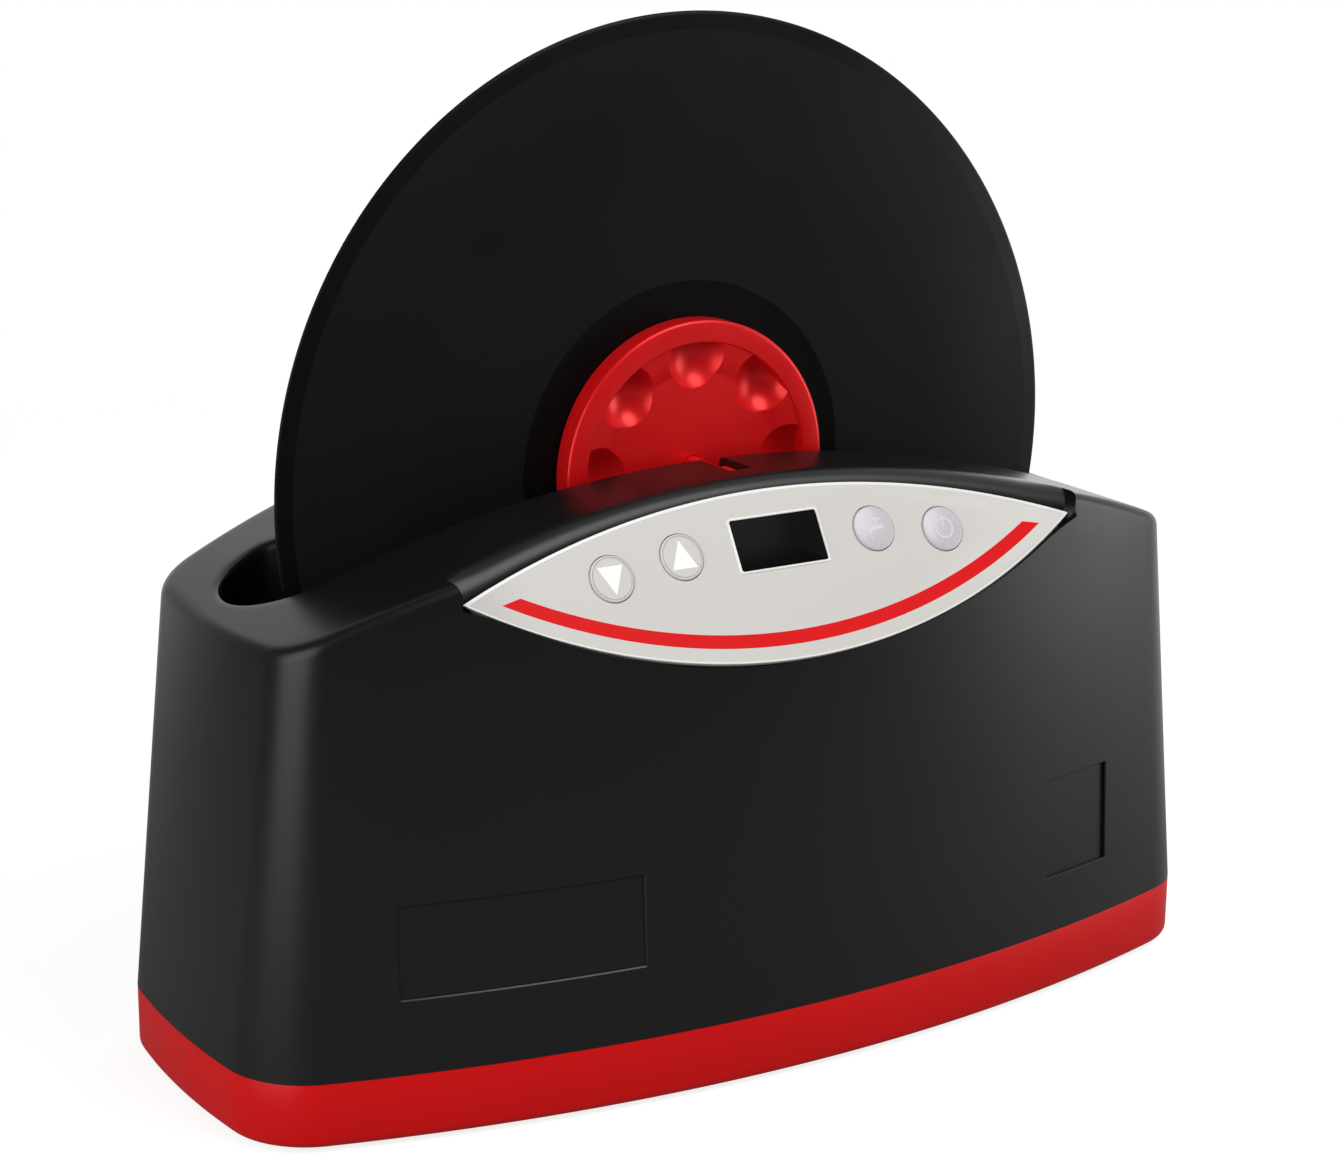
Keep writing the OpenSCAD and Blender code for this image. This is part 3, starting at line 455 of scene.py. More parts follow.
def startTree(name, sizes):
    tree = bpy.data.node_groups.new(name, "GeometryNodeTree")
    sockets = tree.interface
    for way in ("INPUT", "OUTPUT"):
        sockets.new_socket("Geometry", in_out=way, socket_type="NodeSocketGeometry")
    for label, value in sizes.items():
        socket = sockets.new_socket(label, in_out="INPUT", socket_type=socketKinds[type(value)])
        socket.default_value = inMetres(value)
    sockets.new_socket("Material", in_out="INPUT", socket_type="NodeSocketMaterial")
    return tree, tree.nodes.new("NodeGroupInput").outputs


def vector(tree, x=0.0, y=0.0, z=0.0):
    return addNode(tree, "ShaderNodeCombineXYZ", {"X": x, "Y": y, "Z": z})[0]


def shifted(tree, geometry, offset):
    return addNode(tree, "GeometryNodeTransform", {"Geometry": geometry, "Translation": offset})[0]


def raised(tree, geometry, z):
    return shifted(tree, geometry, vector(tree, z=z))


def cylinder(tree, vertices, radius, depth, rows=1):
    return addNode(tree, "GeometryNodeMeshCylinder",
                   {"Vertices": vertices, "Radius": radius, "Depth": depth,
                    "Side Segments": rows})["Mesh"]


def cube(tree, size):
    return addNode(tree, "GeometryNodeMeshCube", {"Size": size})["Mesh"]


def ringCurve(tree, resolution, radius):
    return addNode(tree, "GeometryNodeCurvePrimitiveCircle",
                   {"Resolution": resolution, "Radius": radius})[0]


def swept(tree, run, section, caps=False):
    return addNode(tree, "GeometryNodeCurveToMesh",
                   {"Curve": run, "Profile Curve": section, "Fill Caps": caps})[0]


def ringPoints(tree, count, radius):
    return addNode(tree, "GeometryNodeMeshCircle", {"Vertices": count, "Radius": radius})[0]


def together(tree, parts):
    return addNode(tree, "GeometryNodeJoinGeometry", {0: parts})[0]


def copiesOn(tree, points, instance, **inputs):
    return addNode(tree, "GeometryNodeInstanceOnPoints",
                   {"Points": points, "Instance": instance, **inputs})[0]


def realized(tree, geometry):
    return addNode(tree, "GeometryNodeRealizeInstances", {"Geometry": geometry})[0]


def solid(tree, kind, inputs):
    return addNode(tree, "GeometryNodeMeshBoolean", inputs, operation=kind, solver="EXACT")["Mesh"]


# Cylinder round its own middle whose radius follows a curve of (height share, radius share)
def turnedBody(tree, vertices, radius, depth, curve, rows=12):
    plain = cylinder(tree, vertices, radius, depth, rows)
    place = addNode(tree, "GeometryNodeInputPosition")[0]
    height = addNode(tree, "ShaderNodeSeparateXYZ", {0: place})["Z"]
    share = reckon(tree, "ADD", reckon(tree, "DIVIDE", height, depth), 0.5)
    bend = tree.nodes.new("ShaderNodeFloatCurve")
    line = bend.mapping.curves[0]
    for at, value in curve[1:-1]:
        line.points.new(at, value)
    line.points[0].location, line.points[-1].location = curve[0], curve[-1]
    for point in line.points:
        point.handle_type = "VECTOR"
    bend.mapping.update()
    tree.links.new(share, bend.inputs["Value"])
    factor = vector(tree, bend.outputs[0], bend.outputs[0], 1.0)
    spot = addNode(tree, "ShaderNodeVectorMath", {0: place, 1: factor}, operation="MULTIPLY")[0]
    return addNode(tree, "GeometryNodeSetPosition", {"Geometry": plain, "Position": spot})[0]


# Ends a tree: instances made real, then the material
def finishTree(tree, geometry, material):
    dressed = addNode(tree, "GeometryNodeSetMaterial",
                      {"Geometry": realized(tree, geometry), "Material": material})[0]
    addNode(tree, "NodeGroupOutput", {"Geometry": dressed})
    return tree


# Ends a tree that copies an instance onto the points it is run on
def finishCopies(tree, given, instance, **inputs):
    copies = copiesOn(tree, given["Geometry"], instance, **inputs)
    return finishTree(tree, copies, given["Material"])


# Runs a tree on an object's mesh, and leaves it one material
def runTree(obj, tree, sizes, finish):
    modifier = obj.modifiers.new("nodes", "NODES")
    modifier.node_group = tree
    for item in tree.interface.items_tree:
        if item.in_out == "INPUT" and item.name in sizes:
            modifier[item.identifier] = inMetres(sizes[item.name])
        elif item.name == "Material":
            modifier[item.identifier] = finishes[finish]
    settle(obj)
    obj.data.materials.clear()
    obj.data.materials.append(finishes[finish])
    obj.data.polygons.foreach_set("material_index", [0] * len(obj.data.polygons))


# Screws: pan heads with a cross recess, shanks with a thread

skyward, earthward, frontward = (0.0, 0.0, 1.0), (0.0, 0.0, -1.0), (0.0, -1.0, 0.0)
panelOut = (0.0, -math.cos(tilt), math.sin(tilt))
screws = {  # places, head radius, head height, shank radius, length, direction of the shank
    "housing_screws": (atHeight("corners", 5.5), 3.2, 2.2, 1.7, 33.5, skyward),
    "tank_screws": (atHeight("tank", 142.5), 3.0, 1.8, 1.25, 10.7, skyward),
    "board_screws": ([tuple(panelPoints(u, v, -15.1)[0]) for u, v in fixings["board"]],
                     2.2, 1.4, 1.05, 6.8, panelOut),
    "generator_screws": (atHeight("generator", 13.6), 2.6, 1.6, 1.2, 6.8, earthward),
    "saddle_screws": (atHeight("saddles", 178.9), 2.8, 1.6, 1.25, 9.2, skyward),
    "gearbox_screws": ([(-7.5, 43, 171.78), (7.5, 43, 171.78)], 1.9, 1.2, 0.85, 3.8, frontward),
    "pump_screws": (atHeight("pump", 13), 2.8, 1.6, 1.2, 6.8, earthward),
}
screwForm = {  # shares of the head's and the shank's sizes, then counts
    "head": [(0, 0.62), (0.12, 0.80), (0.28, 0.92), (0.5, 1.0), (0.93, 1.0), (1, 0.96)],
    "armLength": 1.05, "armWidth": 0.2, "armDepth": 1.1, "core": 0.84, "ridge": 0.16,
    "pitch": 0.55, "headSides": 40, "shankSides": 20, "ridgeSides": 4, "turnSteps": 18,
}


def makeScrewTree():
    tree, given = startTree("screws", {
        "Head Radius": 3.0, "Head Height": 2.0, "Shank Radius": 1.2, "Length": 10.0,
        "Pitch": 0.6, "Direction": skyward})
    headRadius, headHeight, length = given["Head Radius"], given["Head Height"], given["Length"]
    head = turnedBody(tree, screwForm["headSides"], headRadius, headHeight, screwForm["head"])
    head = raised(tree, head, times(tree, headHeight, -0.5))
    arm = times(tree, headRadius, screwForm["armLength"])
    thin = times(tree, headRadius, screwForm["armWidth"])
    deep = times(tree, headHeight, screwForm["armDepth"])
    bars = [raised(tree, cube(tree, vector(tree, x, y, deep)), times(tree, headHeight, -1.0))
            for x, y in ((arm, thin), (thin, arm))]
    head = solid(tree, "DIFFERENCE", {"Mesh 1": head, "Mesh 2": bars})
    core = times(tree, given["Shank Radius"], screwForm["core"])
    shank = cylinder(tree, screwForm["shankSides"], core, length)
    shank = raised(tree, shank, times(tree, length, 0.5))
    turns = reckon(tree, "DIVIDE", length, given["Pitch"])
    run = addNode(tree, "GeometryNodeCurveSpiral",
                  {"Resolution": screwForm["turnSteps"], "Rotations": turns,
                   "Start Radius": core, "End Radius": core, "Height": length})[0]
    ridge = ringCurve(tree, screwForm["ridgeSides"],
                      times(tree, given["Shank Radius"], screwForm["ridge"]))
    screw = together(tree, [head, shank, swept(tree, run, ridge, True)])
    turn = addNode(tree, "FunctionNodeAlignRotationToVector", {"Vector": given["Direction"]},
                   axis="Z")[0]
    return finishCopies(tree, given, screw, Rotation=turn)


# Runs a tree on bare points; what comes out stands in for a node
def makeCopies(name, node, places, tree, sizes, finish, smooth):
    obj = newObject(name, newMesh(name, places))
    runTree(obj, tree, sizes, finish)
    smoothen(obj, smooth)
    settlePiece(obj, "chassis", slotOf(node), node)


def makeScrews():
    tree = makeScrewTree()
    for node, (places, headRadius, headHeight, shank, length, direction) in screws.items():
        sizes = {"Head Radius": headRadius, "Head Height": headHeight, "Shank Radius": shank,
                 "Length": length, "Pitch": shank * screwForm["pitch"], "Direction": direction}
        makeCopies(node.replace("_", "") + "Set", node, places, tree, sizes, "zincSteel", 35)


makeScrews()
print("screws made")


# Feet with ringed soles, the strainer's perforated disc and the generator's finned heatsink

# Each dictionary whose keys are capitalised holds the inputs of a tree
feet = {"Radius": 9.0, "Height": 2.7}
footForm = {"curve": [(0, 0.83), (0.12, 0.85), (0.32, 0.9), (0.4, 1.0), (0.9, 1.0), (1, 0.97)],
            "beadRing": 0.66, "bead": 0.14, "beadDrop": -0.36, "sides": 48, "rows": 10,
            "beadSides": 10}
strainerForm = {"sides": 64, "holeSides": 16, "punch": 4}
strainer = {"Radius": 9.0, "Thickness": 0.8, "Hole": 0.8, "Inner": 3.0, "Outer": 6.0,
            "Inner Count": 6, "Outer Count": 12}
heatsink = {"Fins": 7, "Pitch": 6.2, "Fin": 1.6, "Height": 22.0, "Length": 40.0, "Depth": 16.0,
            "Base": 3.0}


def makeFootTree():
    tree, given = startTree("feet", feet)
    radius, height, sides = given["Radius"], given["Height"], footForm["sides"]
    foot = turnedBody(tree, sides, radius, height, footForm["curve"], footForm["rows"])
    around = ringCurve(tree, sides, times(tree, radius, footForm["beadRing"]))
    bead = ringCurve(tree, footForm["beadSides"], times(tree, height, footForm["bead"]))
    ring = swept(tree, around, bead)
    ring = raised(tree, ring, times(tree, height, footForm["beadDrop"]))
    return finishCopies(tree, given, together(tree, [foot, ring]))


def makeStrainerTree():
    tree, given = startTree("strainer", strainer)
    disc = cylinder(tree, strainerForm["sides"], given["Radius"], given["Thickness"])
    places = [ringPoints(tree, given[n + " Count"], given[n]) for n in ("Inner", "Outer")]
    places.append(addNode(tree, "GeometryNodeMeshLine", {"Count": 1})[0])
    punch = cylinder(tree, strainerForm["holeSides"], given["Hole"], strainerForm["punch"] * mm)
    punches = realized(tree, copiesOn(tree, together(tree, places), punch))
    plate = solid(tree, "DIFFERENCE", {"Mesh 1": disc, "Mesh 2": punches})
    return finishCopies(tree, given, plate)


def makeHeatsinkTree():
    tree, given = startTree("heatsink", heatsink)

    def block(x, y, z):
        size = vector(tree, x, y, z)
        half = addNode(tree, "ShaderNodeVectorMath", {0: size, "Scale": 0.5}, operation="SCALE")[0]
        return shifted(tree, cube(tree, size), half)

    line = addNode(tree, "GeometryNodeMeshLine",
                   {"Count": given["Fins"], "Offset": vector(tree, given["Pitch"])})[0]
    fin = block(given["Fin"], given["Depth"], given["Height"])
    fins = realized(tree, copiesOn(tree, line, fin))
    base = block(given["Length"], given["Depth"], given["Base"])
    return finishCopies(tree, given, solid(tree, "UNION", {"Mesh 2": [base, fins]}))


makeCopies("soleSet", "rubber_feet", atHeight("feet", 1.35), makeFootTree(), feet,
           "softBlack", 30)
makeCopies("perforatedSieve", "sump_strainer", [(0, 0, 31.71)], makeStrainerTree(), strainer,
           "stainless", 30)
makeCopies("finComb", "generator_heatsink", [(-138, 39, 13.6)], makeHeatsinkTree(), heatsink,
           "turnedAluminium", 30)
print("repeated pieces made")


# Outline of the body

evenShare, evenReach = 0.75, 120  # share of a side's columns that stand evenly, and how far


# Points and normals of one quarter of the plan at a share of the walls' lean
def quadrant(share):
    r = body["cornerRadius"] + share * (body["crownCornerRadius"] - body["cornerRadius"])
    a = sideRadius - body["halfDepth"] + share * body["sideLean"]
    b = endRadius - body["halfLength"] + share * body["endLean"]
    ra, rb = sideRadius - r, endRadius - r
    d = math.hypot(a, b)
    along = (ra * ra - rb * rb + d * d) / (2 * d)
    aside = math.sqrt(ra * ra - along * along)
    cx = -b * along / d + a * aside / d
    cy = -a + a * along / d + b * aside / d
    tangentX = cx * sideRadius / ra
    s = np.linspace(0, 1, body["sideColumns"] + 1)
    past = (s - evenShare) / (1 - evenShare)
    x = np.where(s <= evenShare, s * (evenReach / evenShare),
                 evenReach + past * (tangentX - evenReach))
    y = np.sqrt(sideRadius ** 2 - x * x) - a
    start, stop = math.atan2(cy + a, cx), math.atan2(cy, cx + b)
    t = np.linspace(start, stop, body["cornerColumns"] + 1)[1:]
    e = np.linspace(stop, 0, body["endColumns"] + 1)[1:]
    points = np.vstack([np.column_stack([x, y]),
                        np.column_stack([cx + r * np.cos(t), cy + r * np.sin(t)]),
                        np.column_stack([endRadius * np.cos(e) - b, endRadius * np.sin(e)])])
    normals = np.vstack([np.column_stack([x, y + a]) / sideRadius,
                         np.column_stack([np.cos(t), np.sin(t)]),
                         np.column_stack([np.cos(e), np.sin(e)])])
    return points, normals


# Full ring from a rear quarter and a front one, each from a side's middle to an end's
def ringOfFour(rear, front):
    return np.vstack([rear[::-1], rear[1:] * (-1, 1), front[::-1][1:] * (-1, -1),
                      front[1:-1] * (1, -1)])


footPlan, footNormals = (ringOfFour(quarter, quarter) for quarter in quadrant(0))
crownPlan, crownNormals = (ringOfFour(quarter, quarter) for quarter in quadrant(1))


# Plan of the wall at a share of its lean, one number or one for each column
def wallRing(share, inset=0.0):
    k = np.broadcast_to(share, len(footPlan))[:, None]
    normals = footNormals * (1 - k) + crownNormals * k
    normals /= np.linalg.norm(normals, axis=1)[:, None]
    return footPlan * (1 - k) + crownPlan * k - normals * inset


def archZ(x):
    return body["crownZ"] - body["crownRadius"] + np.sqrt(body["crownRadius"] ** 2 - x * x)


def shareAt(z):
    return (z - body["bandZ"]) / wallRise


def wallZ(share):
    return body["bandZ"] + share * wallRise


# Distance of the long side's outside from the middle
def sideY(x, z):
    return (np.sqrt(sideRadius ** 2 - x * x) - sideRadius + body["halfDepth"]
            - shareAt(z) * body["sideLean"])


# Slot's outline, grown by offset, with the same columns as the plan; its widened ends reach
# further back, and without them it is a plain capsule
def slotRing(offset, widened=True):
    points, _ = quadrant(1)
    sideCount = body["sideColumns"] + 1
    steps = np.hypot(*np.diff(points, axis=0).T)
    reach = np.concatenate([[0], np.cumsum(steps)])
    half = body["slotHalfWidth"]
    roundEnd = body["slotEndRadius"] if widened else half
    centre = body["slotHalfLength"] - roundEnd
    begin = np.interp(centre, points[:sideCount, 0], reach[:sideCount])
    share = np.clip((reach - begin) / (reach[-1] - begin), 0, 1)
    angle = math.pi / 2 * (1 - share)

    # sign is 1 at the back and -1 at the front, where y is mirrored
    def quarter(sign):
        middle = sign * (roundEnd - half)
        taper = np.clip((points[:, 0] - centre + body["slotEndRun"]) / body["slotEndRun"], 0, 1)
        straight = half + offset + (sign > 0) * 2 * (roundEnd - half) * taper
        onEnd = share > 0
        x = np.where(onEnd, centre + (roundEnd + offset) * np.cos(angle), points[:, 0])
        y = np.where(onEnd, middle + (roundEnd + offset) * np.sin(angle), straight)
        return np.column_stack([x, y])

    return ringOfFour(quarter(1), quarter(-1 if widened else 1))


def withZ(plan, z):
    return np.column_stack([plan, np.broadcast_to(z, len(plan))])


def onArch(plan, drop=0.0):
    return withZ(plan, archZ(plan[:, 0]) - drop)


# Housing

housing = {
    "edgeRound": 4.2, "edgeRows": 7, "wallRows": 14, "topRows": 9, "mouthRound": 3,
    "mouthRows": 5, "ledgeRise": 4, "ledgeStep": 0.01, "lipShare": 0.9, "lipRows": 9,
    "ribBelow": 3, "ribCover": 1.8, "ribDepth": 11, "ribFront": 1.3, "ribPast": 1.5,
    "ribColumns": 61, "tipRun": 14, "tipFlare": 6, "tipRows": 6,
    "pocketStep": 5, "pocketTop": 40,
    "seat": 2.5, "seatGrow": 1.5, "seatGap": 0.05, "seatCut": 8,
    "capHole": 9.4, "displayHole": (17.8, 9.7),
    "notchHalfWidth": 4.4, "rearNotchHalfWidth": 6.6, "notchBottom": 184.6, "notchTop": 214,
    "notchStart": 15, "frontNotchY": 36.2, "rearNotchY": 38.7,
    # left, right, low, high, depth
    "badges": [(-142, -62, 48, 78, 0.8), (104.5, 135.5, 43.5, 78.5, 1.4)],
    # x, z, hole, pad
    "ports": [(130, 35.4, 5.05, 9), (-60, 36, 5.55, 9.4)],
    "portStand": 0.3, "portEdge": 0.1, "portRim": 1, "portReach": 10,
    # bore, radius, foot, top
    "bosses": {"tank": (1.3, 4, 146, 158), "saddles": (1.3, 4, 182.9, 192),
               "corners": (1.75, 3.6, 23.5, 45)},
    "boardBoss": (1.1, 2.8, -13.2, -4.8),
}


# Rows along a soft edge between two rings, round the sharp ring between them
def curveRows(start, corner, end, count):
    return [start * (1 - t) ** 2 + corner * 2 * t * (1 - t) + end * t * t
            for t in np.linspace(0, 1, count)]


def housingShell():
    # the wall leans until it meets the arch, and where it does depends on its lean
    share = np.ones(len(footPlan))
    for _ in range(4):
        edge = wallRing(share)
        share = shareAt(archZ(edge[:, 0]))
    slotOuter = slotRing(housing["mouthRound"])
    below = share - housing["edgeRound"] / wallRise
    inward = slotOuter - edge
    inward /= np.linalg.norm(inward, axis=1)[:, None]
    topPlan = edge + inward * housing["edgeRound"]
    rows = [withZ(wallRing(below * t), wallZ(below * t))
            for t in np.linspace(0, 1, housing["wallRows"])[:-1]]
    rows += curveRows(withZ(wallRing(below), wallZ(below)), onArch(edge), onArch(topPlan),
                      housing["edgeRows"])
    for t in np.linspace(0, 1, housing["topRows"])[1:-1]:
        rows.append(onArch(topPlan * (1 - t) + slotOuter * t))
    slotEdge = slotRing(0)
    rows += curveRows(onArch(slotOuter), onArch(slotEdge), onArch(slotEdge, housing["mouthRound"]),
                      housing["mouthRows"])
    ledge, step = body["skirtZ"] + housing["ledgeRise"], housing["ledgeStep"]
    throat = slotRing(0, False)
    foot = slotRing(body["skirtWall"], False)
    skirt = slotRing(body["skirtWall"])
    inner = wallRing(share, body["wall"])
    rows += [withZ(slotEdge, (ledge + archZ(slotEdge[:, 0])) / 2), withZ(slotEdge, ledge),
             withZ(throat, ledge - step), withZ(throat, body["skirtZ"]),
             withZ(foot, body["skirtZ"]), withZ(foot, ledge - body["skirtWall"]),
             withZ(skirt, ledge - body["skirtWall"] + step)]
    rows += [onArch(plan, body["wall"]) for plan in (skirt, (inner + skirt) / 2, inner)]
    rows += [withZ(wallRing(share * t, body["wall"]), wallZ(share * t)) for t in (0.66, 0.33, 0)]
    return loft(rows, closed=True)


# Outline (u, v) of the fascia's lens on its plane n, its lower edge first, and a weight that is
# 1 on the upper edge and 0 on the lower one
def lensOutline(grow, n, count=72, tipPoints=7):
    def upper(u):
        y = panel["topY"] - lipRadius + np.sqrt((lipRadius + grow) ** 2 - u * u)
        return (y - panel["topY"] + n * math.cos(tilt)) / math.sin(tilt)

    def lower(u):
        return bellyRadius - panel["height"] - np.sqrt((bellyRadius + grow) ** 2 - u * u)

    # the tip, where the two edges cross, is found by halving
    low, high = 90.0, 130.0
    for _ in range(50):
        tip = (low + high) / 2
        low, high = (tip, high) if upper(tip) > lower(tip) else (low, tip)
    cut = tip - panel["tipRound"]
    u = np.linspace(-cut, cut, count)
    bottom, top = np.column_stack([u, lower(u)]), np.column_stack([u, upper(u)])[::-1]
    corner = np.array([tip, upper(tip)])
    turn = np.linspace(0, 1, tipPoints + 2)[1:-1, None]
    right = bottom[-1] * (1 - turn) ** 2 + 2 * corner * turn * (1 - turn) + top[0] * turn ** 2
    left = (right * (-1, 1))[::-1]
    ease = (turn * turn * (3 - 2 * turn))[:, 0]
    weight = np.concatenate([np.zeros(count), ease, np.ones(count), 1 - ease])
    return np.vstack([bottom, right, top, left]), weight


def onLens(outline, n):
    return panelPoints(outline[:, 0], outline[:, 1], n)


# Pocket for the fascia: straight along its normal below, with a rounded lip above
def pocketCutter():
    outline, weight = lensOutline(panel["gap"], -panel["thickness"])
    base = onLens(outline, -panel["thickness"])
    w = weight[:, None]
    wallHeight = archZ(base[:, 0]) - base[:, 2]
    high = wallHeight * housing["lipShare"]
    level = np.zeros(len(base))
    levels = [(level, level)]
    for angle in np.linspace(0, math.pi / 2, housing["lipRows"]):
        levels.append((high * (1 - math.cos(angle)), wallHeight - high + high * math.sin(angle)))
    levels.append((high + 1, wallHeight + 0.02))
    levels.append((high + 1.2, wallHeight + housing["pocketTop"]))
    near = np.clip((np.abs(base[:, 0]) - panel["halfLength"]) / housing["tipRun"] + 1, 0, 1) ** 2
    flare = np.sign(base[:, 0]) * near * housing["tipFlare"]
    rows = []
    for k, (back, up) in enumerate(levels):
        lifted = base + np.column_stack([flare * min(1, k / housing["tipRows"]), back, up])
        aside = np.column_stack([flare * min(1, k), level, level])
        travelled = base + np.array(panelOut) * (housing["pocketStep"] * k) + aside
        rows.append(lifted * w + travelled * (1 - w))
    return loft(rows)


# Solid strip under the top that backs the rounded lip above the fascia
def lipRib():
    reach = panel["halfLength"] + housing["ribPast"]
    n = -panel["thickness"]
    rows = []
    for u in np.linspace(-reach, reach, housing["ribColumns"]):
        wallY = panel["topY"] - lipRadius + math.sqrt((lipRadius + panel["gap"]) ** 2 - u * u)
        v = (wallY - panel["topY"] + n * math.cos(tilt)) / math.sin(tilt)
        low = panelPoints(0, v, n)[0][2] - housing["ribBelow"]
        high = float(archZ(np.array(u))) - housing["ribCover"]
        near, far = wallY - housing["ribFront"], wallY + housing["ribDepth"]
        rows.append(np.array([(u, near, low), (u, far, low), (u, far, high), (u, near, high)]))
    return loft(rows)


# Recess that follows the wall, with a slope round its edge that catches the light
def badgeCutter(x0, x1, z0, z1, depth, across=16, rows=5, slope=0.4, step=0.02, outside=100):
    def lines(low, high, count):
        inside = np.linspace(low, high, count)
        ends = [low - slope, low, low + step], [high - step, high, high + slope]
        return np.concatenate([ends[0], inside[1:-1], ends[1]])

    x = lines(x0, x1, across)
    ringRows = []
    for z in lines(z0, z1, rows):
        inset = np.minimum(np.minimum(x - x0, x1 - x), min(z - z0, z1 - z)) + slope
        sunk = np.where(inset > slope + step / 2, depth, inset)
        inner = np.column_stack([x, sunk - sideY(x, z), np.full(len(x), z)])
        ringRows.append(np.vstack([inner, (inner * (1, 0, 1) - (0, outside, 0))[::-1]]))
    return loft(ringRows)


# What is cut from the shell and what is added to it at the ports in the rear wall
def portShapes():
    cutters, pads = [], []
    stand, edge, rim = housing["portStand"], housing["portEdge"], housing["portRim"]
    for x, z, hole, pad in housing["ports"]:
        y, place = float(sideY(x, z)), alongY(x, z)
        low = y - body["wall"]
        cutters.append(rings([(hole, y - housing["portReach"]), (hole, low), (pad, low + 0.01),
                              (pad, y + housing["portReach"])], place, 48))
        pads.append(tube([(hole, low), (pad + rim, low), (pad + rim, y + edge),
                          (pad + rim - 0.2, y + stand), (hole, y + stand)], place, 48))
    return cutters, pads


def uprightSleeves(key, sizes, segments=24):
    return [tube(sleeve(*sizes), upright(x, y), segments) for x, y in fixings[key]]


# Seat behind the fascia; the caps' openings go on through the bosses beside them, as the caps
# sink there when pressed
def makeSeat():
    front, back = -panel["thickness"], -panel["thickness"] - housing["seat"]
    outlines = [lensOutline(housing["seatGrow"], n)[0] for n in (back, front)]
    seat = makePiece("seat", loft([onLens(outlines[0], back),
                                   onLens(outlines[1], front - housing["seatGap"])]),
                     ["housingBlack"])
    for u, v in fixings["board"]:
        carve(seat, tube(sleeve(*housing["boardBoss"]), onPanel(u, v), 24), "UNION")
    (w, h), deep = housing["displayHole"], -housing["seatCut"]
    openings = [rings([(housing["capHole"], deep), (housing["capHole"], 0)], onPanel(u, v), 40)
                for u, v in buttonPlaces.values()]
    openings.append(placed(boxShape((-w, -h, deep), (w, h, 0)), onPanel(0, display["v"])))
    for cutter in openings:
        carve(seat, cutter)
    return seat


def makeHousing():
    obj = makePiece("housingShell", housingShell(), ["housingBlack"])
    carve(obj, lipRib(), "UNION")
    low, top, start = housing["notchBottom"], housing["notchTop"], housing["notchStart"]
    w, rearW = housing["notchHalfWidth"], housing["rearNotchHalfWidth"]
    portCutters, pads = portShapes()
    cutters = [pocketCutter(), *(badgeCutter(*badge) for badge in housing["badges"]),
               boxShape((-w, -housing["frontNotchY"], low), (w, -start, top)),
               boxShape((-rearW, start, low), (rearW, housing["rearNotchY"], top)), *portCutters]
    for cutter in cutters:
        carve(obj, cutter)
    for key, sizes in housing["bosses"].items():
        pads += uprightSleeves(key, sizes)
    addShape(obj, joined(*pads))
    joinTo(obj, makeSeat())
    smoothen(obj, 30)
    settlePiece(obj, "chassis", "black_housing", "housing")


makeHousing()
print("housing made")


# Base tray

tray = {
    "round": 3, "roundRows": 6, "edge": 0.5, "lipHeight": 4, "lipThickness": 1.3, "lipGap": 0.3,
    "lipFoot": 6, "floor": 2.5, "floorShares": (0.03, 0.35, 0.7, 0.93),
    "footHole": [(9.05, 0), (9.05, 2.7)],
    "screwHole": [(3.6, 0), (3.6, 3.0), (1.9, 3.01), (1.9, 6)],
    # bore, radius, foot, top
    "cornerPosts": (1.9, 5.5, 3.6, 23.4), "generatorPosts": (1.3, 3.2, 3, 12),
    "pumpPosts": (1.3, 3.2, 3, 10),
}


def makeTray():
    low, high = body["trayZ"], body["bandZ"]

    def ring(inset, z, share=0.0):
        return withZ(wallRing(share, inset), z)

    rows = [withZ(wallRing(0, tray["round"]) * s, low) for s in tray["floorShares"]]
    for angle in np.linspace(0, math.pi / 2, tray["roundRows"]):
        rows.append(ring(tray["round"] * (1 - math.sin(angle)),
                         low + tray["round"] * (1 - math.cos(angle))))
    edge, lipTop, lipFoot = tray["edge"], high + tray["lipHeight"], high - tray["lipFoot"]
    lip, lipShare = body["wall"] + tray["lipGap"], shareAt(lipTop)
    lipInside = lip + tray["lipThickness"]
    rows += [ring(0, high - edge), ring(edge * 0.3, high - edge * 0.3), ring(edge, high),
             ring(lip, high, lipShare), ring(lip, lipTop, lipShare),
             ring(lipInside, lipTop, lipShare), ring(lipInside, lipFoot, lipShare),
             ring(body["wall"], lipFoot - 0.2), ring(body["wall"], low + tray["floor"])]
    rows += [withZ(wallRing(0, body["wall"]) * s, low + tray["floor"])
             for s in tray["floorShares"][::-1]]
    obj = makePiece("trayShell", loft(rows), ["trayRed"])
    for key, profile, segments in (("feet", "footHole", 48), ("corners", "screwHole", 32)):
        for x, y in fixings[key]:
            carve(obj, rings(tray[profile], upright(x, y), segments))
    addShape(obj, joined(*uprightSleeves("corners", tray["cornerPosts"], 32),
                         *uprightSleeves("generator", tray["generatorPosts"]),
                         *uprightSleeves("pump", tray["pumpPosts"])))
    smoothen(obj, 30)
    settlePiece(obj, "chassis", "red_plastic", "base_tray")


makeTray()
print("base tray made")


# Fascia with its stripe, display and buttons

fascia = {"rimWidth": 0.7, "rimHeight": 0.3, "rimSoft": 0.25, "rimRidge": 0.7, "buttonHole": 8.0,
          "cut": 9}
stripe = {"width": 4.6, "margin": 5, "angle": 29.3, "slant": 0.05, "stand": 0.08, "soft": 0.12,
          "depth": 0.6, "columns": 97}


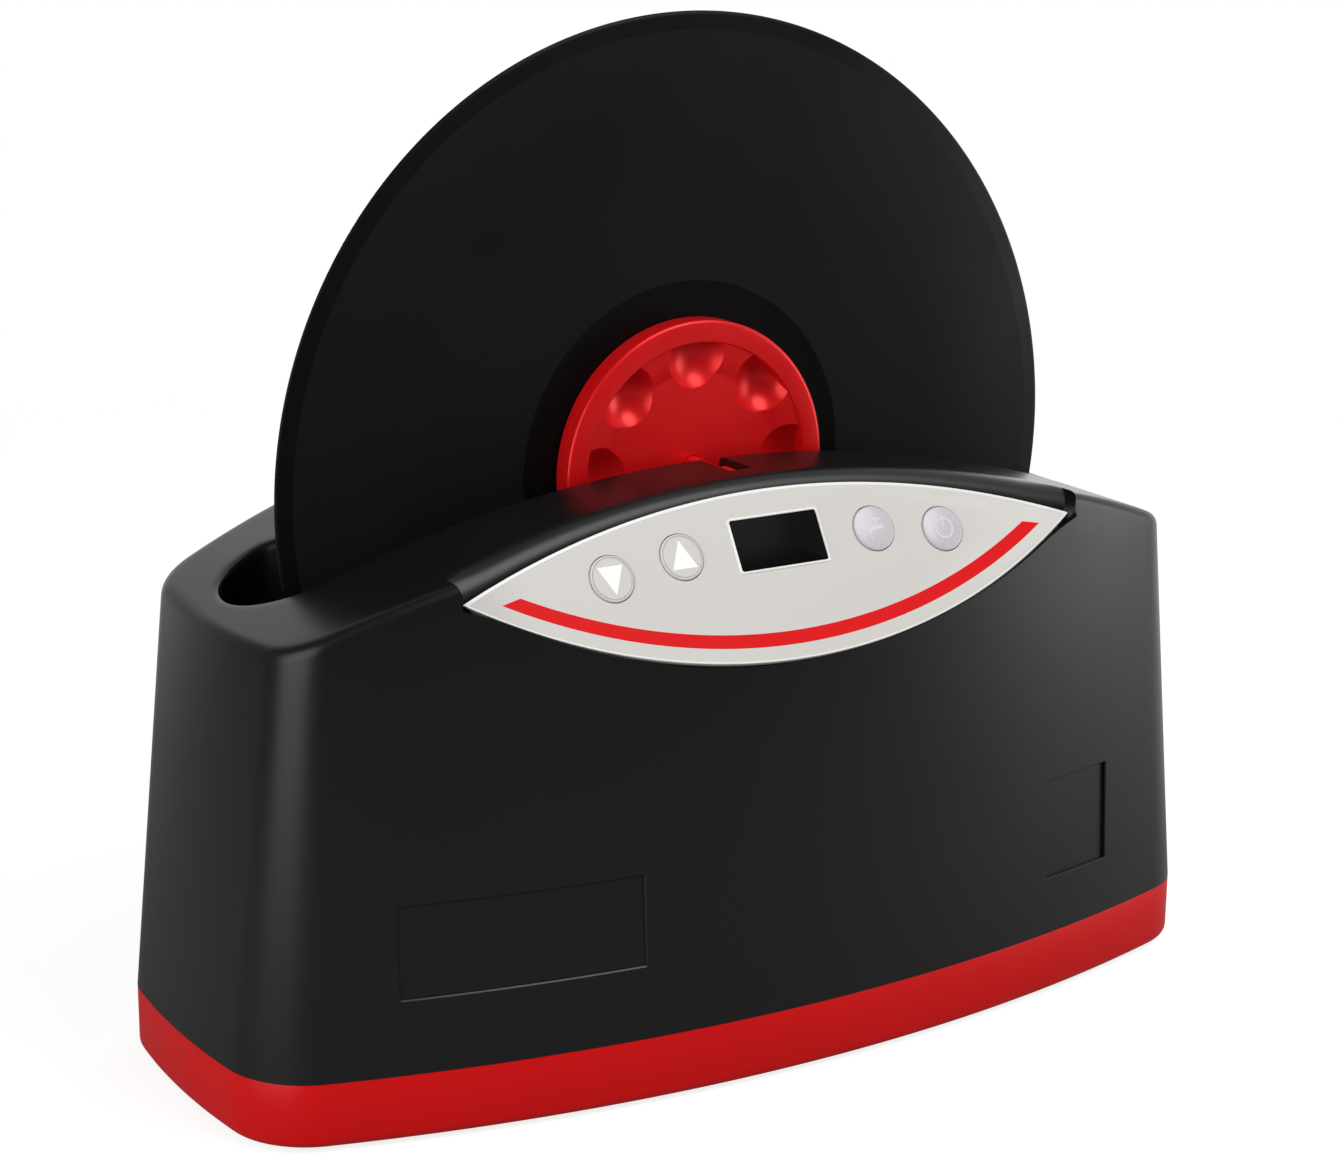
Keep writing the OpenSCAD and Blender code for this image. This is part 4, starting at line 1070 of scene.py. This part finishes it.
def makeFascia():
    thick, rim, cut = panel["thickness"], fascia["rimHeight"], fascia["cut"]
    front, backEdge = (lensOutline(0, n)[0] for n in (0, -thick))
    inner = lensOutline(-fascia["rimWidth"], 0)[0]
    soft, ridge = (front + (inner - front) * fascia[k] for k in ("rimSoft", "rimRidge"))
    points, faces = loft([onLens(backEdge, -thick), onLens(front, rim * 0.5), onLens(soft, rim),
                          onLens(ridge, rim), onLens(inner, 0.0)])
    # the rim's lighter finish, a painted highlight for its lit edge, starts at the second ring
    slots = [1 if len(f) == 4 and min(f) >= len(front) else 0 for f in faces]
    obj = makePiece("fasciaPlate", (points, faces), ["panelGrey", "panelRimHighlight"], faceMaterial=slots)
    hole = fascia["buttonHole"]
    for u, v in buttonPlaces.values():
        carve(obj, rings([(hole, -cut), (hole, cut)], onPanel(u, v), 64))
    w, h = display["width"] / 2, display["height"] / 2
    carve(obj, placed(boxShape((-w, -h, -cut), (w, h, cut)), onPanel(0, display["v"])))
    smoothen(obj, 30)
    settlePiece(obj, "chassis", "fascia_grey", "fascia")


def makeStripe():
    outer = bellyRadius - stripe["margin"]
    inner = outer - stripe["width"]
    centre = bellyRadius - panel["height"]
    top, soft, depth = stripe["stand"], stripe["soft"], stripe["depth"]
    section = [(inner, -depth), (outer, -depth), (outer, top - soft), (outer - soft, top),
               (inner + soft, top), (inner, top - soft)]
    r, n = np.array(section).T
    slant = 1 - stripe["slant"] * (outer - r) / stripe["width"]
    rows = []
    for a in np.radians(np.linspace(-90 - stripe["angle"], -90 + stripe["angle"],
                                    stripe["columns"])):
        turned = -math.pi / 2 + (a + math.pi / 2) * slant
        rows.append(panelPoints(r * np.cos(turned), centre + r * np.sin(turned), n))
    obj = makePiece("stripeRibbon", loft(rows), ["stripeRed"])
    settlePiece(obj, "chassis", "stripe_red", "stripe_inlay")


def roundedRectangle(w, h, r, steps=5):
    corners = [(w - r, h - r, 0), (r - w, h - r, 90), (r - w, r - h, 180), (w - r, r - h, 270)]
    return np.array([(x + r * math.cos(a), y + r * math.sin(a)) for x, y, turn in corners
                     for a in np.radians(np.linspace(turn, turn + 90, steps))])


def flat(outline, n):
    return np.column_stack([np.asarray(outline, float), np.full(len(outline), n)])


def makeDisplay():
    w, h, band = display["width"] / 2, display["height"] / 2, display["frame"]

    # rings as (growth, corner radius, height) above the fascia
    def levels(*sizes):
        place = onPanel(0, display["v"])
        return [place(flat(roundedRectangle(w + grow, h + grow, r), n)) for grow, r, n in sizes]

    glass = makePiece("displayGlass", loft(levels((-0.1, 0.7, -1.6), (-0.1, 0.7, 0.0),
                                                  (-0.3, 0.6, 0.12))), ["displayBlack"])
    settlePiece(glass, "chassis", "display_black", "display_window")
    rim = levels((-0.05, 0.8, 0.0), (-0.05, 0.8, 0.35), (0.25, 1.0, 0.5), (band * 0.7, 1.2, 0.45),
                 (band, 1.4, 0.02))
    # the bezel takes the rim's lighter tone, a painted highlight for its lit edge
    bezel = makePiece("displayBezel", loft(rim, closed=True), ["panelRimHighlight"])
    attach(bezel, "chassis")


def flatSymbol(outline, low, high):
    return loft([flat(outline, n) for n in (low, high)])


def arcBand(radius, width, start, stop, steps):
    angles = np.radians(np.linspace(start, stop, steps))
    outer, inner = radius + width / 2, radius - width / 2
    return ([(outer * math.cos(a), outer * math.sin(a)) for a in angles]
            + [(inner * math.cos(a), inner * math.sin(a)) for a in angles[::-1]])


buttons = {"radius": 7.7, "stand": 0.6, "dome": 0.5, "flange": 9.0, "stem": 1.7,
           "grooveRadius": 6.9, "stemFoot": -11.2, "flangeFoot": -4.1, "flangeTop": -2.8}
signs = {  # outlines, and how far each stands out
    "up": [([(-4.6, -4.0), (4.6, -4.0), (0, 5.5)], 0.1)],
    "down": [([(-4.6, 4.0), (0, -5.5), (4.6, 4.0)], 0.1)],
    "tap": [([(3.4, 0.7), (-1.0, 0.7), (-2.6, 0.1), (-3.1, -1.2), (-3.1, -2.0), (-1.7, -2.0),
              (-1.6, -1.2), (-0.9, -0.8), (3.4, -0.8)], 0.02),
            ([(-2.4, -2.6), (-1.9, -3.6), (-2.05, -4.1), (-2.4, -4.3), (-2.75, -4.1),
              (-2.9, -3.6)], 0.02),
            ([(0.2, 0.8), (1.2, 0.8), (1.2, 2.4), (0.2, 2.4)], 0.03),
            ([(-1.4, 2.4), (2.8, 2.4), (2.8, 3.3), (-1.4, 3.3)], 0.02)],
    "power": [(arcBand(3.4, 0.9, 0, 359.5, 60), 0.02),
              ([(-0.45, 0.6), (0.45, 0.6), (0.45, 4.4), (-0.45, 4.4)], 0.04)],
}


# Profile of a cap with its flange and stem, turned about the axis of its travel
def capShape(domed):
    r, top, g = buttons["radius"], buttons["stand"], buttons["grooveRadius"]
    stem, flange = buttons["stem"], buttons["flange"]
    low, high = buttons["flangeFoot"], buttons["flangeTop"]
    profile = [(stem, buttons["stemFoot"]), (stem, low), (flange, low), (flange, high), (r, high),
               (r, top - 0.45), (r - 0.15, top - 0.12), (r - 0.45, top)]
    if domed:
        return profile + [(r * t, top + buttons["dome"] * (1 - t * t))
                          for t in np.linspace(0.86, 0.06, 9)]
    return profile + [(g + 0.2, top), (g, top - 0.3), (g - 0.2, top), (r * 0.4, top + 0.05),
                      (0.3, top + 0.06)]


def makeButtons():
    for name, (u, v) in buttonPlaces.items():
        domed = name in ("tap", "power")
        top, sunk = buttons["stand"] + domed * buttons["dome"], 0.5 if domed else 0.2
        cap = rings(capShape(domed), asIs, 72)
        points, faces = joined(cap, *(flatSymbol(outline, top - sunk, top + stand)
                                      for outline, stand in signs[name]))
        slots = [0] * len(cap[1]) + [1] * (len(faces) - len(cap[1]))
        dressing = ["lilacCap", "faintSymbol"] if domed else ["panelGrey", "symbolWhite"]
        obj = makePiece(name + "Cap", (onPanel(u, v)(points), faces), dressing, 28, slots)
        settlePiece(obj, name + "_key", "button_lilac", name + "_button")


makeFascia()
makeStripe()
makeDisplay()
makeButtons()
print("fascia made")


# Record and its clamps

disc = {"radius": 150.5, "thickness": 2.0, "hole": 3.62, "deadWax": 62, "rimBand": 144.5,
        "segments": 288}


def makeRecord():
    half, wax, rim = disc["thickness"] / 2, disc["deadWax"], disc["rimBand"]
    face = [(disc["hole"], half), (50, half), (wax - 0.6, half - 0.08), (wax, half),
            (wax + 0.01, half), (100, half), (rim, half), (rim + 0.8, half - 0.22),
            (149.2, half - 0.3), (150.1, half - 0.55), (disc["radius"], 0.0)]
    points, faces = tube(face + [(r, -h) for r, h in face[::-1][1:]], asIs, disc["segments"])
    slots = []
    for corners in faces:
        r = float(np.hypot(points[list(corners), 0], points[list(corners), 1]).mean())
        slots.append(1 if r < wax else 2 if r > rim else 0)
    obj = makePiece("vinylDisc", placed((points, faces), alongY(0, body["axleZ"])),
                    ["grooves", "deadWax", "recordRim"], 40, slots)
    settlePiece(obj, "record_set", "vinyl", "record")


clamp = {"faceY": 1.6, "segments": 240, "ballSegments": 96, "ballRings": 48, "limitDepth": 60}
dimples = {"Count": 8, "Ring": 36.0, "Ball": 13.0, "Height": 13.9, "Limit": 42.5}


# Tree that presses a ring of hollows into a dish: balls on a circle, kept inside its edge
def makeDimpleTree():
    tree, given = startTree("dimples", dimples)
    ball = addNode(tree, "GeometryNodeMeshUVSphere",
                   {"Segments": clamp["ballSegments"], "Rings": clamp["ballRings"],
                    "Radius": given["Ball"]})["Mesh"]
    spots = ringPoints(tree, given["Count"], given["Ring"])
    balls = raised(tree, realized(tree, copiesOn(tree, spots, ball)), given["Height"])
    limit = cylinder(tree, clamp["segments"], given["Limit"], clamp["limitDepth"] * mm)
    hollows = solid(tree, "INTERSECT", {"Mesh 2": [balls, limit]})
    dish = solid(tree, "DIFFERENCE", {"Mesh 1": given["Geometry"], "Mesh 2": hollows})
    return finishTree(tree, dish, given["Material"])


# Turned clamp on its pressing face, radius and height inwards over the front, then the back
def clampProfile(bore):
    face = [(50, 0.3), (50, 6.9), (49.9, 7.35), (49.6, 7.7), (49.15, 7.93), (48.6, 8.0),
            (45.5, 8.0), (43.1, 8.0), (42.8, 7.92), (42.6, 7.7), (42.5, 7.4), (42.2, 7.32),
            (37.5, 6.37), (33.6, 5.48), (32.8, 5.17), (32.0, 4.97), (31.2, 4.9), (20, 4.9),
            (8, 4.9)]
    back = [(43, 0), (43, 1), (46, 1), (46, 0), (49.7, 0)]
    return face + [(bore + 0.3, 4.9), (bore, 4.6), (bore, 0)] + back


def makeClamp(name, bore, sign, bodyName, node, tree):
    obj = makePiece(name, tube(clampProfile(bore), asIs, clamp["segments"]), ["clampRed"])
    runTree(obj, tree, dimples, "clampRed")
    points = np.empty(len(obj.data.vertices) * 3)
    obj.data.vertices.foreach_get("co", points)
    points = points.reshape(-1, 3) + (0, 0, clamp["faceY"] * mm)
    obj.data.vertices.foreach_set("co", alongY(0, body["axleZ"] * mm, sign)(points).ravel())
    if sign > 0:
        obj.data.flip_normals()
    smoothen(obj, 24)
    settlePiece(obj, bodyName, "red_plastic", node)


makeRecord()
dimpleTree = makeDimpleTree()
makeClamp("frontClampDisc", 3.56, -1, "screw_clamp", "front_clamp", dimpleTree)
makeClamp("rearClampDisc", 3.55, 1, "record_set", "rear_clamp", dimpleTree)
print("record and clamps made")


# Stage: lengths in metres

studio = {"floorRadius": 2.0, "floorSegments": 96, "fadeStart": 0.5, "fadeEnd": 1.1,
          "floorColour": 0.3, "floorGlow": 0.82, "ambient": 0.3, "frontShare": 0.06,
          "brightSide": (0.75, 0.66, 0), "dimEdge": -0.05, "brightEdge": 0.75}


# Soft step of a value between two edges, from low to 1
def softStep(tree, value, start, stop, low=0.0):
    return addNode(tree, "ShaderNodeMapRange",
                   {"Value": value, "From Min": start, "From Max": stop, "To Min": low},
                   interpolation_type="SMOOTHSTEP")["Result"]


# 1 for camera rays; for glossy and transmission rays 1 at the back, less at the front
def seenRay(tree, coordinate):
    place = addNode(tree, "ShaderNodeTexCoord")[coordinate]
    along = addNode(tree, "ShaderNodeVectorMath", {0: place, 1: studio["brightSide"]},
                    operation="DOT_PRODUCT")["Value"]
    behind = softStep(tree, along, studio["dimEdge"], studio["brightEdge"], studio["frontShare"])
    path = addNode(tree, "ShaderNodeLightPath")
    mirrored = reckon(tree, "MAXIMUM", path["Is Glossy Ray"], path["Is Transmission Ray"])
    return reckon(tree, "MAXIMUM", times(tree, mirrored, behind), path["Is Camera Ray"])


def makeWorld():
    world = bpy.data.worlds.new("studio")
    bpy.context.scene.world = world
    world.use_nodes = True
    tree = world.node_tree
    background = tree.nodes["Background"].inputs
    background["Color"].default_value = (1, 1, 1, 1)
    diffuse = addNode(tree, "ShaderNodeLightPath")["Is Diffuse Ray"]
    ambient = times(tree, diffuse, studio["ambient"])
    strength = reckon(tree, "MAXIMUM", ambient, seenRay(tree, "Generated"))
    tree.links.new(strength, background["Strength"])


# Pale floor that fades out before its edge
def makeFloor():
    outline = turnedRows([(studio["floorRadius"] / mm, 0)], studio["floorSegments"])[0]
    floor = newObject("floor", newMesh("floor", outline, [tuple(range(len(outline)))]))
    material = bpy.data.materials.new("floor")
    material.use_nodes = True
    tree = material.node_tree
    tree.nodes.clear()
    matt = addNode(tree, "ShaderNodeBsdfDiffuse", {"Color": (studio["floorColour"],) * 3 + (1,)})
    strength = times(tree, seenRay(tree, "Object"), studio["floorGlow"])
    glow = addNode(tree, "ShaderNodeEmission", {"Strength": strength})
    lit = addNode(tree, "ShaderNodeAddShader", {0: matt[0], 1: glow[0]})[0]
    reach = lengthOf(tree, addNode(tree, "ShaderNodeTexCoord")["Object"])
    fade = softStep(tree, reach, studio["fadeStart"], studio["fadeEnd"])
    clear = addNode(tree, "ShaderNodeBsdfTransparent")[0]
    mixed = addNode(tree, "ShaderNodeMixShader", {0: fade, 1: lit, 2: clear})[0]
    addNode(tree, "ShaderNodeOutputMaterial", {"Surface": mixed})
    floor.data.materials.append(material)


lampAim = (0, 0, 0.15)
lamps = {  # place, size, watts
    "left": ((-1.0, -0.35, 0.35), 1.1, 8.0),
    "front": ((0.4, -0.8, 1.2), 0.9, 10.5),
    "right": ((1.0, -0.55, 0.2), 0.6, 2.4),
    "rear": ((0.75, 0.75, 0.6), 0.8, 2.5),
}


def makeLamps():
    for name, (place, size, watts) in lamps.items():
        data = bpy.data.lights.new(name, "AREA")
        data.shape, data.size, data.energy = "DISK", size, watts
        obj = newObject(name, data)
        obj.location = place
        aim = Vector(lampAim) - Vector(place)
        obj.rotation_euler = aim.to_track_quat("-Z", "Y").to_euler()


makeWorld()
makeFloor()
makeLamps()
bpy.context.scene.view_settings.view_transform = "Standard"
print("stage made")
